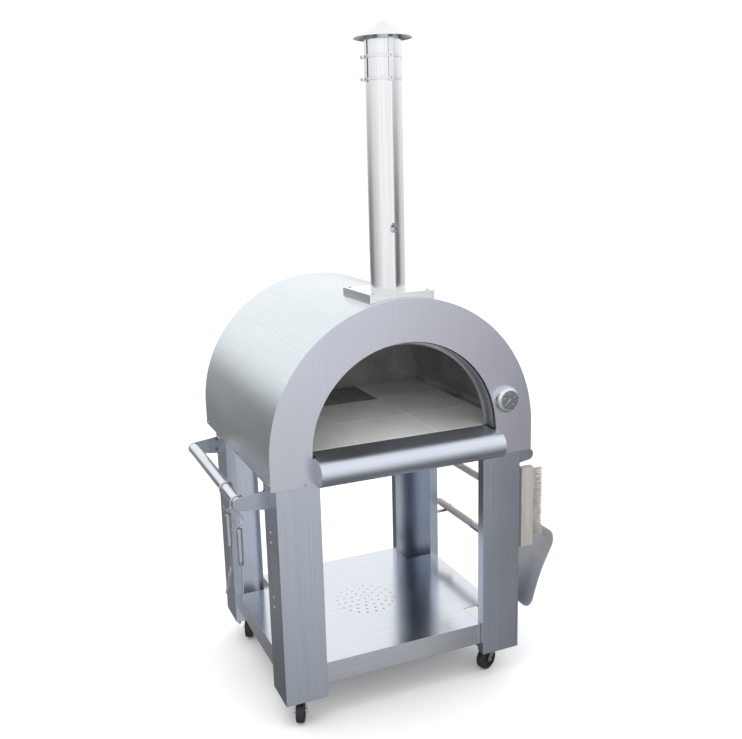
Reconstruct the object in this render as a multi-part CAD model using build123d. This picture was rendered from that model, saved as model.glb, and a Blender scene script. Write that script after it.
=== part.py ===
"""Wood fired pizza oven on a wheeled cart.

Millimetres, +Z up. The oven's mouth faces -Y and its right side is +X.
Every part is drawn with X = 0 on the oven's middle, Y = 0 on the front of the
face plate and Z = 0 on the ground. At the end the whole oven is moved sideways
so that the origin is the bottom centre of its overall box.
"""
import os
from math import atan2, cos, degrees, pi, radians, sin, sqrt

from build123d import *

# ---------------------------------------------------------------- driving sizes
SHEET = 1.5                    # stainless sheet used for nearly every panel
DECK_Z = 890.0                 # cooking floor and top of the landing shelf

# oven body
BODY_R = 440.0                 # outer radius of the arched shell, half its width
ARCH_Z = 892.0                 # height of the arch's centre
BODY_DEPTH = 779.0             # face plate to rear panel
FACE_BOTTOM_Z = 804.0
SHELL_BOTTOM_Z = 813.0
MOUTH_R = 309.0                # opening in the face plate
THROAT_R = 306.0
LIP_R = 294.0
THROAT_END_Y = 58.0
LINER_R = 409.0
LINER_BACK_Y = 757.0

# cooking floor
TILE_THICK = 20.0
TILE_W = 268.0
TILE_D = 229.0
TILE_JOINT = 2.0
TILE_FRONT_Y = 62.0

# landing shelf
LANDING_HALF = 306.0
NOSE_R = 41.0
NOSE_Y = -28.0

# cart
LEG_X = 417.0                  # outer side of the legs
LEG_FRONT_Y = 28.0
LEG_REAR_Y = 746.0
LEG_W = 137.0                  # face that looks forward or back
LEG_D = 132.0                  # face that looks sideways
LEG_BOTTOM_Z = 90.0
LEG_LIP = 34.0
SHELF_Z = 197.0
SHELF_HALF = 399.0
SHELF_FRONT_Y = 44.0
SHELF_REAR_Y = 730.0
SHELF_APRON = 72.0
HOLE_RINGS = 4
HOLE_PITCH = 25.0
HOLE_R = 4.0

# casters
WHEEL_R = 38.0
WHEEL_W = 27.0
AXLE_R = 4.0
TRAIL = 25.0
RUN = 0.05                     # radial running clearance of a shaft
CASTER_X = LEG_X - 68.0
CASTER_FRONT_Y = LEG_FRONT_Y + 66.0
CASTER_REAR_Y = LEG_REAR_Y - 66.0
CASTER_TOP_Z = LEG_BOTTOM_Z + 10.0
RACE_Z = CASTER_TOP_Z - 10.5   # underside of the fixed raceway
FORK_Z = RACE_Z - 8.0          # top of the fork's cheeks
KINGPIN_R = 5.0
CHEEK_Y = WHEEL_W / 2 + 2.0
PEDAL_PIN_R = 1.5
PEDAL_Y = -CHEEK_Y - 5.8
PEDAL_Z = FORK_Z - 8.0
# name: x, y, direction in which the wheel trails, has a brake
CASTERS = {
    "front_left": (-CASTER_X, CASTER_FRONT_Y, -114.0, True),
    "front_right": (CASTER_X, CASTER_FRONT_Y, -160.0, False),
    "rear_left": (-CASTER_X, CASTER_REAR_Y, -114.0, True),
    "rear_right": (CASTER_X, CASTER_REAR_Y, 60.0, False),
}

# side handles
BAR_R = 19.0
BAR_X = 505.0
BAR_Z = 742.0
BRACKET_T = 3.0
BRACKET_FRONT_Y = 113.0
BRACKET_REAR_Y = 727.0
BRACKET_ROOT_H = 63.0
BRACKET_TIP_R = 20.0

# hooks and small tools on the left handle
WIRE_R = 2.0
HOOK_TOP_R = 21.7
HOOK_LOW_R = 14.0
HOOK_DROP = 57.0               # between the centres of a hook's two loops
HOOK_FRONT_Y = 136.0
HOOK_REAR_Y = 268.0
TOOL_TURN = -24.0              # the hanging tools face a little inwards
GRIP_R = 9.0
GRIP_LEN = 105.0
SOCKET_DEPTH = 7.0
TURNER_SHAFT_R = 3.0
FERRULE_R = 6.0
EYE_R = 7.5
EYE_WIRE_R = 1.6
EYE_STEM = 5.0

# peel and brush on the right side
BRUSH_X = 477.0
BRUSH_Z = 575.0
BRUSH_Y = 60.0
BRUSH_LEN = 284.0
BRUSH_ROD_R = 13.0
BRISTLE_LEN = 40.0
BRISTLE_ROWS = 23
PEEL_X = 486.0
PEEL_Z = 362.0
PEEL_ROD_R = 14.0
PEEL_TILT = 22.0
PEEL_W = 276.0
PEEL_FRONT_Y = -3.0
PEEL_LEN = 312.0
PEEL_CORNER_R = 46.0
PEEL_DISH_R = 700.0
FERRULE_Y = 392.0
ROD_END_Y = 735.0
HOLDER_W = 20.0
HOLDER_T = 3.0
HOLDER_FRONT_Y = 107.0
HOLDER_REAR_Y = 667.0
HOLDER_BOLT_ZS = (391.0, 423.0, 605.0, 636.0)

# chimney
FLUE_Y = 127.0
FLUE_R = 53.0
FLUE_T = 1.2
FLUE_BOTTOM_Z = 1298.0
FLUE_TOP_Z = 2064.0
SADDLE_HALF = 105.0
SADDLE_TOP_Z = 1347.0
DAMPER_Z = 1540.0
DAMPER_ROD_R = 4.0
BAND_ZS = (1952.0, 2014.0)
BAND_H = 9.0
BAND_TURN = -23.0              # clamp ears sit between two straps
BAND_BOLT_X = -FLUE_R - 10.0
BAND_BOLT_R = 1.9
CAP_R = 85.0
CAP_RIM_Z = 2071.0
CAP_TOP_Z = 2119.0
STRAP_W = 15.0

# thermometer
GAUGE_X = 344.0
GAUGE_Z = 984.0
GAUGE_R = 42.0
GAUGE_FACE_R = 30.0
GAUGE_DEPTH = 24.0

# fasteners
SCREW_R = 2.0
BOLT_R = 3.25
LEG_HOLE_R = 4.2
HOLDER_HOLE_R = 2.7
FLUE_AXIS = Axis((0, FLUE_Y, 0), (0, 0, 1))


# ---------------------------------------------------------------- helpers
def block(x0, x1, y0, y1, z0, z1):
    """A box between two corners."""
    return Pos((x0 + x1) / 2, (y0 + y1) / 2, (z0 + z1) / 2) * Box(x1 - x0, y1 - y0, z1 - z0)


def rod_x(x0, x1, y, z, r):
    return Pos((x0 + x1) / 2, y, z) * Rot(0, 90, 0) * Cylinder(r, x1 - x0)


def rod_y(y0, y1, x, z, r):
    return Pos(x, (y0 + y1) / 2, z) * Rot(90, 0, 0) * Cylinder(r, y1 - y0)


def rod_z(z0, z1, x, y, r):
    return Pos(x, y, (z0 + z1) / 2) * Cylinder(r, z1 - z0)


def group(solids):
    """Separate solids of one kind, kept apart in one node."""
    return Compound([solid for part in solids for solid in part.solids()])


def arch_face(radius, bottom_z):
    """Outline of an arch: a half circle on straight sides."""
    outline = [
        Line((-radius, bottom_z), (radius, bottom_z)),
        Line((radius, bottom_z), (radius, ARCH_Z)),
        ThreePointArc((radius, ARCH_Z), (0, ARCH_Z + radius), (-radius, ARCH_Z)),
        Line((-radius, ARCH_Z), (-radius, bottom_z)),
    ]
    return make_face(outline)


def extrude_y(face, y0, y1):
    """Push a face drawn in X and Z along Y."""
    plane = Plane(origin=(0, y0, 0), x_dir=(1, 0, 0), z_dir=(0, -1, 0))
    return extrude(plane * face, amount=y1 - y0, dir=(0, 1, 0))


def arch_solid(radius, bottom_z, y0, y1):
    return extrude_y(arch_face(radius, bottom_z), y0, y1)


def arch_sheet(radius, thick, bottom_z, y0, y1):
    """Sheet bent over an arch, open underneath."""
    hollow = arch_solid(radius - thick, bottom_z - 1, y0 - 1, y1 + 1)
    return arch_solid(radius, bottom_z, y0, y1) - hollow


def flue_hole(clearance):
    return rod_z(LINER_R + 700, CAP_TOP_Z, 0, FLUE_Y, FLUE_R + clearance)


def both_sides(part):
    return [part, mirror(part, about=Plane.YZ)]


TURNS = {"-y": Rot(90, 0, 0), "+y": Rot(-90, 0, 0), "-x": Rot(0, -90, 0),
         "+x": Rot(0, 90, 0), "+z": Rot(0, 0, 0)}


def drilled(part, spots, r):
    """Part with a clearance hole at every screw that passes through it."""
    for direction, x, y, z in spots:
        part -= Pos(x, y, z) * TURNS[direction] * Cylinder(r, 24)
    return part


def pan_head(direction, x, y, z, r=4.5, h=2.6, shank=8.0):
    """Pan head screw. The head stands proud along `direction`."""
    head = Cylinder(r, h, align=(Align.CENTER, Align.CENTER, Align.MIN))
    head = fillet(head.edges().group_by(Axis.Z)[-1], h * 0.6)
    shank_solid = Cylinder(r * 0.45, shank, align=(Align.CENTER, Align.CENTER, Align.MAX))
    slot = Pos(0, 0, h) * (Box(r * 1.1, 0.9, 1.6) + Box(0.9, r * 1.1, 1.6))
    screw = head + shank_solid - slot
    return Pos(x, y, z) * TURNS[direction] * screw


def hex_bolt(direction, x, y, z, r=6.5, h=4.5, shank=9.0):
    """Hexagon head bolt with its washer."""
    up = (Align.CENTER, Align.CENTER, Align.MIN)
    washer = Cylinder(r * 1.15, 1.2, align=up)
    head = Pos(0, 0, 1.2) * extrude(RegularPolygon(r, 6), amount=h)
    shank_solid = Cylinder(r * 0.5, shank, align=(Align.CENTER, Align.CENTER, Align.MAX))
    return Pos(x, y, z) * TURNS[direction] * (washer + head + shank_solid)


# ---------------------------------------------------------------- where the screws are
def shell_screw_spots():
    z = SHELL_BOTTOM_Z + 9
    ys = (13.0, BODY_DEPTH / 2 - 16, BODY_DEPTH - 30)
    return [(name, side * BODY_R, y, z) for side, name in ((-1, "-x"), (1, "+x")) for y in ys]


def face_screw_spots():
    return [("-y", side * 335.0, 0, FACE_BOTTOM_Z + 9) for side in (-1, 1)]


def rear_screw_spots():
    r = BODY_R - 14
    angles = [radians(15 + 25 * i) for i in range(7)]
    return [("+y", r * cos(a), BODY_DEPTH, ARCH_Z + r * sin(a)) for a in angles]


def back_wall_screw_spots():
    return [("-y", -360 + 90 * i, LINER_BACK_Y - SHEET - 1.2, DECK_Z + 13) for i in range(9)]


def saddle_screw_spots():
    reach = SADDLE_HALF - 16
    return [("+z", sx * reach, FLUE_Y + sy * reach, SADDLE_TOP_Z) for sx in (-1, 1) for sy in (-1, 1)]


def bracket_bolt_spots():
    ys = (BRACKET_FRONT_Y + 19, BRACKET_REAR_Y - 19)
    return [(name, side * (LEG_X + BRACKET_T), y, BAR_Z + dz)
            for side, name in ((-1, "-x"), (1, "+x")) for y in ys for dz in (-20, 20)]


def holder_bolt_spots(x):
    return [("+x", x, y, z) for y in (HOLDER_FRONT_Y, HOLDER_REAR_Y) for z in HOLDER_BOLT_ZS]


# ---------------------------------------------------------------- oven body
def outer_shell():
    shell = arch_sheet(BODY_R, SHEET, SHELL_BOTTOM_Z, SHEET + 0.1, BODY_DEPTH)
    return drilled(shell - flue_hole(2.0), shell_screw_spots(), SCREW_R + 0.2)


def face_plate():
    """Arched front with its edges returned into the shell and the mouth."""
    plate = arch_solid(BODY_R, FACE_BOTTOM_Z, 0, SHEET)
    tuck_r = BODY_R - SHEET - 0.3
    rim = arch_sheet(tuck_r, SHEET, FACE_BOTTOM_Z, SHEET / 2, 14)
    foot = block(-tuck_r, tuck_r, SHEET / 2, 20, FACE_BOTTOM_Z, FACE_BOTTOM_Z + SHEET)
    collar = arch_sheet(MOUTH_R + SHEET, SHEET, DECK_Z - 3, SHEET / 2, 22)
    mouth = arch_solid(MOUTH_R, DECK_Z - 3, -1, 60)
    stem = rod_y(-1, 30, GAUGE_X, GAUGE_Z, 5.0)
    plate = plate + rim + foot + collar - mouth - stem
    return drilled(plate, shell_screw_spots() + face_screw_spots(), SCREW_R + 0.2)


def mouth_throat():
    """Sleeve through the insulation that ends in a narrower lip."""
    sleeve = arch_sheet(THROAT_R, SHEET, DECK_Z + 0.2, 12, THROAT_END_Y)
    lip = arch_sheet(THROAT_R, THROAT_R - LIP_R, DECK_Z + 0.2, THROAT_END_Y - SHEET, THROAT_END_Y)
    bead = arch_sheet(LIP_R + SHEET, SHEET, DECK_Z + 0.2, THROAT_END_Y - 9, THROAT_END_Y)
    return sleeve + lip + bead


def rear_panel():
    radius = BODY_R - SHEET - 0.3
    panel = arch_solid(radius, SHELL_BOTTOM_Z, BODY_DEPTH - SHEET, BODY_DEPTH)
    rim = arch_sheet(radius, SHEET, SHELL_BOTTOM_Z, BODY_DEPTH - 38, BODY_DEPTH - SHEET / 2)
    foot = block(-radius, radius, BODY_DEPTH - 14, BODY_DEPTH - SHEET / 2,
                 SHELL_BOTTOM_Z, SHELL_BOTTOM_Z + SHEET)
    return drilled(panel + rim + foot, shell_screw_spots() + rear_screw_spots(), SCREW_R + 0.2)


def inner_liner():
    """Vault of the cooking chamber with its front wall round the throat."""
    vault = arch_sheet(LINER_R, SHEET, DECK_Z - 20, THROAT_END_Y + 0.1, LINER_BACK_Y)
    front = arch_solid(LINER_R - SHEET / 2, DECK_Z - 20, THROAT_END_Y + 0.1, THROAT_END_Y + SHEET)
    front -= arch_solid(LIP_R + 1, DECK_Z - 21, 0, 100)
    return vault + front - flue_hole(2.0) - rod_y(0, 100, GAUGE_X, GAUGE_Z, 4.0)


def inner_back_wall():
    radius = LINER_R - SHEET - 0.2
    wall = arch_solid(radius, DECK_Z - 20, LINER_BACK_Y - SHEET, LINER_BACK_Y)
    rail = block(-radius + 2, radius - 2, LINER_BACK_Y - SHEET - 1.2, LINER_BACK_Y - SHEET / 2,
                 DECK_Z + 0.5, DECK_Z + 24)
    return drilled(wall + rail, back_wall_screw_spots(), SCREW_R + 0.2)


def insulation():
    """Fibre blanket over the vault and a board under the floor tiles."""
    blanket = arch_sheet(BODY_R - SHEET - 2.6, BODY_R - LINER_R - SHEET - 4.2, DECK_Z - 18,
                         THROAT_END_Y + 3, BODY_DEPTH - 20)
    blanket -= flue_hole(4.0)
    half = LINER_R - SHEET - 3
    board = block(-half, half, TILE_FRONT_Y, LINER_BACK_Y - 4, SHELL_BOTTOM_Z + 4,
                  DECK_Z - TILE_THICK)
    return group([blanket, board])


def base_pan():
    """Tray under the cooking floor, hung between the legs."""
    half = LINER_R + 4
    z0 = SHELL_BOTTOM_Z + 1
    outer = block(-half, half, THROAT_END_Y - 26, LINER_BACK_Y + 6, z0, DECK_Z - TILE_THICK - 1)
    inner = block(-half + SHEET, half - SHEET, THROAT_END_Y - 26 + SHEET, LINER_BACK_Y + 6 - SHEET,
                  z0 + SHEET, DECK_Z)
    return outer - inner


def tile_cells():
    """Centres of the nine cells of the cooking floor, row by row."""
    for row in range(3):
        for column in (-1, 0, 1):
            x = column * (TILE_W + TILE_JOINT)
            y = TILE_FRONT_Y + TILE_D / 2 + row * (TILE_D + TILE_JOINT)
            yield row, column, x, y


def floor_tiles():
    tiles = []
    for row, column, x, y in tile_cells():
        if (row, column) == (2, 0):
            continue
        tile = Pos(x, y, DECK_Z - TILE_THICK / 2) * Box(TILE_W, TILE_D, TILE_THICK)
        tiles.append(chamfer(tile.edges().group_by(Axis.Z)[-1], 1.0))
    return group(tiles)


def floor_rails():
    """Angle strips that hold the tiles' side edges down."""
    out = sqrt((LINER_R - SHEET) ** 2 - 22.0 ** 2) - 1.0
    angle = block(out - 20, out, TILE_FRONT_Y + 2, LINER_BACK_Y - 8, DECK_Z + 0.1, DECK_Z + 1.6)
    angle += block(out - 1.5, out, TILE_FRONT_Y + 2, LINER_BACK_Y - 8, DECK_Z + 0.1, DECK_Z + 20)
    return group(both_sides(angle))


def charcoal_grate():
    """Cast tray with raised ribs that takes the place of one floor tile."""
    _, _, x, y = [cell for cell in tile_cells()][7]
    half_w, half_d = TILE_W / 2 - 2, TILE_D / 2 - 2
    z0 = DECK_Z - TILE_THICK + 0.2
    tray = Pos(x, y, z0 + 8) * Box(2 * half_w, 2 * half_d, 16)
    tray -= Pos(x, y, z0 + 13) * Box(2 * half_w - 16, 2 * half_d - 16, 16)
    ribs = 17
    for i in range(ribs):
        rib_y = y - half_d + 16 + i * (2 * half_d - 32) / (ribs - 1)
        tray += Pos(x, rib_y, z0 + 9) * Box(2 * half_w - 12, 5, 14)
    return tray


def extrude_x(face, x0, x1):
    """Push a face drawn in Y and Z along X."""
    return extrude(Plane(origin=(x0, 0, 0), x_dir=(0, 1, 0), z_dir=(1, 0, 0)) * face, amount=x1 - x0)


def nose_face(inset):
    top, bottom = DECK_Z - inset, DECK_Z - 2 * NOSE_R + inset
    middle, reach = DECK_Z - NOSE_R, NOSE_R - inset
    return make_face([
        Line((-0.2, top), (NOSE_Y, top)),
        ThreePointArc((NOSE_Y, top), (NOSE_Y - reach, middle), (NOSE_Y, bottom)),
        Line((NOSE_Y, bottom), (-0.2, bottom)),
        Line((-0.2, bottom), (-0.2, top)),
    ])


def landing_shelf():
    """Bullnose shelf whose tongue runs in through the mouth."""
    nose = extrude_x(nose_face(0), -LANDING_HALF, LANDING_HALF)
    hollow = block(-400, 400, -SHEET - 0.2, 5, DECK_Z - 2 * NOSE_R + SHEET, DECK_Z - SHEET)
    hollow += extrude_x(nose_face(SHEET), -LANDING_HALF - 1, LANDING_HALF + 1)
    tongue = block(-THROAT_R + 8, THROAT_R - 8, -2, TILE_FRONT_Y - 5, DECK_Z - SHEET, DECK_Z)
    hem = block(-THROAT_R + 8, THROAT_R - 8, TILE_FRONT_Y - 5 - SHEET, TILE_FRONT_Y - 5,
                DECK_Z - 18, DECK_Z - SHEET / 2)
    return nose - hollow + tongue + hem


def landing_end_caps():
    cap = extrude_x(nose_face(SHEET + 0.1), LANDING_HALF - SHEET, LANDING_HALF)
    return group(both_sides(cap))


# ---------------------------------------------------------------- thermometer
def thermometer_bezel():
    """Domed case that stands on the face plate and holds the glass."""
    outline = make_face([
        Line((0, 0.2), (GAUGE_R, 0.2)),
        Line((GAUGE_R, 0.2), (GAUGE_R, 6)),
        ThreePointArc((GAUGE_R, 6), (GAUGE_R - 3.6, 16), (GAUGE_FACE_R + 3, GAUGE_DEPTH)),
        Line((GAUGE_FACE_R + 3, GAUGE_DEPTH), (0, GAUGE_DEPTH)),
        Line((0, GAUGE_DEPTH), (0, 0.2)),
    ])
    case = revolve(outline, Axis.Y)
    case -= Pos(0, GAUGE_DEPTH - 5, 0) * Rot(-90, 0, 0) * Cylinder(
        GAUGE_FACE_R, 30, align=(Align.CENTER, Align.CENTER, Align.MIN))
    case -= Rot(-90, 0, 0) * Cylinder(3.2, 60)
    return Pos(GAUGE_X, 0, GAUGE_Z) * Rot(0, 0, 180) * case


def thermometer_dial():
    dial = rod_y(-20.2, -19.1, GAUGE_X, GAUGE_Z, GAUGE_FACE_R - 0.3)
    return dial - rod_y(-30, 0, GAUGE_X, GAUGE_Z, 1.8)


def thermometer_needle():
    boss = rod_y(-21.9, -20.6, GAUGE_X, GAUGE_Z, 3.0)
    blade = make_face(Polyline((-1.6, -7), (1.6, -7), (0.5, 22), (-0.5, 22), (-1.6, -7)))
    plane = Plane(origin=(GAUGE_X, -20.8, GAUGE_Z), x_dir=(1, 0, 0), z_dir=(0, -1, 0))
    pointer = extrude(plane * Rot(0, 0, 130) * blade, amount=0.8)
    stem = rod_y(-20.6, -12, GAUGE_X, GAUGE_Z, 1.2)
    return boss + pointer + stem


def thermometer_lens():
    return rod_y(-GAUGE_DEPTH + 0.1, -22.3, GAUGE_X, GAUGE_Z, GAUGE_FACE_R - 0.3)


def thermometer_probe():
    """Stem that reaches into the chamber's air through the front wall."""
    stem = rod_y(-10, 118, GAUGE_X, GAUGE_Z, 3.0)
    nut = Pos(GAUGE_X, 6, GAUGE_Z) * Rot(90, 0, 0) * extrude(RegularPolygon(9, 6), amount=4)
    return stem + nut - rod_y(-13, -8, GAUGE_X, GAUGE_Z, 1.8)


# ---------------------------------------------------------------- chimney
def chimney_base():
    """Square saddle: its skirt is cut to the curve of the shell."""
    h = SADDLE_HALF
    outer = block(-h, h, FLUE_Y - h, FLUE_Y + h, ARCH_Z + 350, SADDLE_TOP_Z)
    inner = block(-h + SHEET, h - SHEET, FLUE_Y - h + SHEET, FLUE_Y + h - SHEET,
                  ARCH_Z + 300, SADDLE_TOP_Z - SHEET)
    seat = rod_y(FLUE_Y - 200, FLUE_Y + 200, 0, ARCH_Z, BODY_R + 0.1)
    return drilled(outer - inner - seat - flue_hole(0.3), saddle_screw_spots(), SCREW_R + 0.2)


def flue_pipe():
    pipe = rod_z(FLUE_BOTTOM_Z, FLUE_TOP_Z, 0, FLUE_Y, FLUE_R)
    pipe -= rod_z(FLUE_BOTTOM_Z - 1, FLUE_TOP_Z + 1, 0, FLUE_Y, FLUE_R - FLUE_T)
    return pipe - rod_y(0, 300, 0, DAMPER_Z, DAMPER_ROD_R + RUN)


def damper_disc():
    """Butterfly plate on the side of its spindle, upright when the flue is open."""
    return rod_x(DAMPER_ROD_R, DAMPER_ROD_R + 1.6, FLUE_Y, DAMPER_Z, FLUE_R - FLUE_T - 2.2)


def damper_rod():
    """Spindle with a nut outside the pipe and a pull ring on its end."""
    front = FLUE_Y - FLUE_R - 16
    rod = rod_y(front, FLUE_Y + FLUE_R + 7, 0, DAMPER_Z, DAMPER_ROD_R)
    nut_plane = Plane(origin=(0, FLUE_Y - FLUE_R - 2, DAMPER_Z), x_dir=(1, 0, 0), z_dir=(0, -1, 0))
    nut = extrude(nut_plane * RegularPolygon(8, 6), amount=6)
    tail = rod_y(FLUE_Y + FLUE_R + 2, FLUE_Y + FLUE_R + 7, 0, DAMPER_Z, 7)
    ring = Pos(0, front + 3, DAMPER_Z - 11) * Rot(90, 0, 0) * Torus(9, 1.6)
    return rod + nut + tail + ring


def cap_underside(radius):
    """Height of the cone's inner surface at a distance from the flue's axis."""
    return CAP_RIM_Z + (CAP_TOP_Z - CAP_RIM_Z) * (1 - radius / CAP_R) - SHEET * 1.15


def cap_bands():
    """Two clamp bands with ears, drawn round the top of the pipe."""
    bands = []
    for z in BAND_ZS:
        band = rod_z(z, z + BAND_H, 0, FLUE_Y, FLUE_R + 1.3)
        band -= rod_z(z - 1, z + BAND_H + 1, 0, FLUE_Y, FLUE_R + 0.05)
        for ear in (-1, 1):
            band += Pos(-FLUE_R - 7, FLUE_Y + ear * 3.2, z + BAND_H / 2) * Box(14, 1.3, BAND_H)
        band -= Pos(-FLUE_R - 6, FLUE_Y, z + BAND_H / 2) * Box(18, 5, BAND_H + 2)
        band -= rod_y(FLUE_Y - 9, FLUE_Y + 9, BAND_BOLT_X, z + BAND_H / 2, BAND_BOLT_R + 0.1)
        bands.append(band.rotate(FLUE_AXIS, BAND_TURN))
    return group(bands)


def strap():
    """Flat strap on the front of the pipe, its top tab turned in under the cap."""
    y_in = FLUE_Y - FLUE_R - 1.4
    top = cap_underside(FLUE_R + 2.9) - 0.4
    bar = block(-STRAP_W / 2, STRAP_W / 2, y_in - SHEET, y_in, BAND_ZS[0] - 3, top)
    slope = degrees(atan2(CAP_TOP_Z - CAP_RIM_Z, CAP_R))
    tab_y = y_in + 9
    tab_z = cap_underside(FLUE_Y - tab_y) - SHEET
    return bar + Pos(0, tab_y, tab_z) * Rot(slope, 0, 0) * Box(STRAP_W, 22, SHEET)


def cap_straps():
    return group([strap().rotate(FLUE_AXIS, 90 * i) for i in range(4)])


def rain_cap():
    """Thin cone over the flue."""
    height = CAP_TOP_Z - CAP_RIM_Z
    up = (Align.CENTER, Align.CENTER, Align.MIN)
    cone = Cone(CAP_R, 1.5, height, align=up)
    inner = Pos(0, 0, -SHEET * 1.15) * Cone(CAP_R, 1.5, height, align=up)
    rim = Cylinder(CAP_R, 2.0, align=(Align.CENTER, Align.CENTER, Align.MAX))
    rim -= Cylinder(CAP_R - 1.6, 8)
    return Pos(0, FLUE_Y, CAP_RIM_Z) * (cone - inner + rim)


def band_bolt(z):
    """Clamp bolt through the ears of one band."""
    bolt = rod_y(FLUE_Y - 9, FLUE_Y + 9, BAND_BOLT_X, z, BAND_BOLT_R)
    for y in (FLUE_Y - 3.9 - 4, FLUE_Y + 3.9):
        bolt += rod_y(y, y + 4, BAND_BOLT_X, z, 2 * BAND_BOLT_R)
    return bolt.rotate(FLUE_AXIS, BAND_TURN)


def strap_rivet(turn, z):
    out = FLUE_R + 1.4 + SHEET
    head = Rot(0, 90, 0) * Cylinder(2.8, 1.4, align=(Align.CENTER, Align.CENTER, Align.MIN))
    return Pos(0, FLUE_Y, z) * Rot(0, 0, turn) * Pos(out, 0, 0) * head


# ---------------------------------------------------------------- cart
def leg():
    """Front left leg: channel of a front face, an outer side and two lips."""
    x0, x1 = -LEG_X, -LEG_X + LEG_W
    y0, y1 = LEG_FRONT_Y, LEG_FRONT_Y + LEG_D
    z0, z1 = LEG_BOTTOM_Z, SHELL_BOTTOM_Z
    front = block(x0, x1, y0, y0 + SHEET, z0, z1)
    side = block(x0, x0 + SHEET, y0, y1, z0, z1)
    inner_lip = block(x1 - SHEET, x1, y0, y0 + LEG_LIP, z0, z1)
    rear_lip = block(x0, x0 + LEG_LIP, y1 - SHEET, y1, z0, z1)
    channel = front + side + inner_lip + rear_lip
    bend = channel.edges().filter_by(Axis.Z).filter_by(
        lambda e: e.center().X < x0 + 0.1 and (e.center().Y < y0 + 0.1 or e.center().Y > y1 - 0.1))
    channel = fillet(bend, SHEET * 0.95)
    return drilled(channel, holder_bolt_spots(-LEG_X)[:4], LEG_HOLE_R)


def turned_to_rear(part):
    """A front leg turned half round about the cart's middle."""
    return part.rotate(Axis((0, (LEG_FRONT_Y + LEG_REAR_Y) / 2, 0), (0, 0, 1)), 180)


def flip_y(part):
    """Mirror a part to the other end of the cart."""
    middle = (LEG_FRONT_Y + LEG_REAR_Y) / 2
    return mirror(part, about=Plane(origin=(0, middle, 0), x_dir=(1, 0, 0), z_dir=(0, 1, 0)))


def foot_plates():
    """Plates across the feet that the casters bolt to."""
    plate = block(-LEG_X + SHEET + 0.1, -LEG_X + LEG_W - SHEET - 0.1,
                  LEG_FRONT_Y + SHEET + 0.1, LEG_FRONT_Y + LEG_D - SHEET - 0.1,
                  LEG_BOTTOM_Z + 10.2, LEG_BOTTOM_Z + 13.2)
    plates = both_sides(plate)
    return group(plates + [flip_y(p) for p in plates])


def shelf_cleat():
    """Angle that joins the shelf's front apron to the left leg's lip."""
    x, y = LEG_X - LEG_W, SHELF_FRONT_Y + SHEET
    on_lip = block(-x, -x + SHEET, y, y + 15, SHELF_Z - 50, SHELF_Z - 12)
    return on_lip + block(-x, -x + 26, y, y + SHEET, SHELF_Z - 50, SHELF_Z - 12)


def cart_rails():
    """Rails that tie the legs' tops together and the cleats that hold the shelf."""
    z1 = SHELL_BOTTOM_Z - 0.2
    z0 = z1 - 30
    inner = LEG_X - LEG_W
    bars = []
    for y in (LEG_FRONT_Y + 6, LEG_REAR_Y - 6 - SHEET):
        bars.append(block(-inner, inner, y, y + SHEET, z0, z1))
    side = block(LEG_X - 9, LEG_X - 9 + SHEET, LEG_FRONT_Y + LEG_D, LEG_REAR_Y - LEG_D, z0, z1)
    cleats = both_sides(shelf_cleat())
    return group(bars + both_sides(side) + cleats + [flip_y(cleat) for cleat in cleats])


def lower_shelf():
    """Tray notched round the legs, with turned-down aprons and air holes."""
    x0, y0, y1, z1 = SHELF_HALF, SHELF_FRONT_Y, SHELF_REAR_Y, SHELF_Z
    z0 = z1 - SHELF_APRON
    tray = block(-x0, x0, y0, y1, z0, z1)
    tray -= block(-x0 + SHEET, x0 - SHEET, y0 + SHEET, y1 - SHEET, z0 - 1, z1 - SHEET)
    clear = 1.0
    nx = LEG_X - LEG_W - clear
    ny = LEG_FRONT_Y + LEG_D + clear
    notches = block(nx, 500, 0, ny, z0 - 1, z1 + 1)
    rear = flip_y(notches)
    for notch in both_sides(notches) + both_sides(rear):
        tray -= notch
    middle_y = (y0 + y1) / 2 - 5
    tray -= rod_z(z1 - 5, z1 + 1, 0, middle_y, HOLE_R)
    for ring in range(1, HOLE_RINGS + 1):
        r = ring * HOLE_PITCH
        for i in range(5 * ring):
            a = 2 * pi * (i + 0.5 * (ring % 2)) / (5 * ring)
            tray -= rod_z(z1 - 5, z1 + 1, r * cos(a), middle_y + r * sin(a), HOLE_R)
    return tray


def handle_bracket():
    """Front left bracket: teardrop ear with a flange along the leg."""
    root_x, tip_x = LEG_X, BAR_X
    h, r = BRACKET_ROOT_H / 2, BRACKET_TIP_R
    run = tip_x - root_x
    lean = atan2(h - r, run)
    tx, tz = tip_x + r * sin(lean), r * cos(lean)
    ear = make_face([
        Line((-root_x, BAR_Z - h), (-root_x, BAR_Z + h)),
        Line((-root_x, BAR_Z + h), (-tx, BAR_Z + tz)),
        ThreePointArc((-tx, BAR_Z + tz), (-tip_x - r, BAR_Z), (-tx, BAR_Z - tz)),
        Line((-tx, BAR_Z - tz), (-root_x, BAR_Z - h)),
    ])
    y = BRACKET_FRONT_Y
    plate = extrude_y(ear, y, y + BRACKET_T)
    flange = block(-root_x - BRACKET_T, -root_x, y, y + 32, BAR_Z - h, BAR_Z + h)
    return drilled(plate + flange, bracket_bolt_spots()[:2], BOLT_R + 0.2)


def handle_brackets():
    front = both_sides(handle_bracket())
    middle = (BRACKET_FRONT_Y + BRACKET_REAR_Y) / 2
    plane = Plane(origin=(0, middle, 0), x_dir=(1, 0, 0), z_dir=(0, 1, 0))
    return group(front + [mirror(part, about=plane) for part in front])


def handle_bar(side):
    y0, y1 = BRACKET_FRONT_Y + BRACKET_T, BRACKET_REAR_Y - BRACKET_T
    bar = rod_y(y0, y1, side * BAR_X, BAR_Z, BAR_R)
    return bar - rod_y(y0 - 1, y1 + 1, side * BAR_X, BAR_Z, BAR_R - SHEET)


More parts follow.
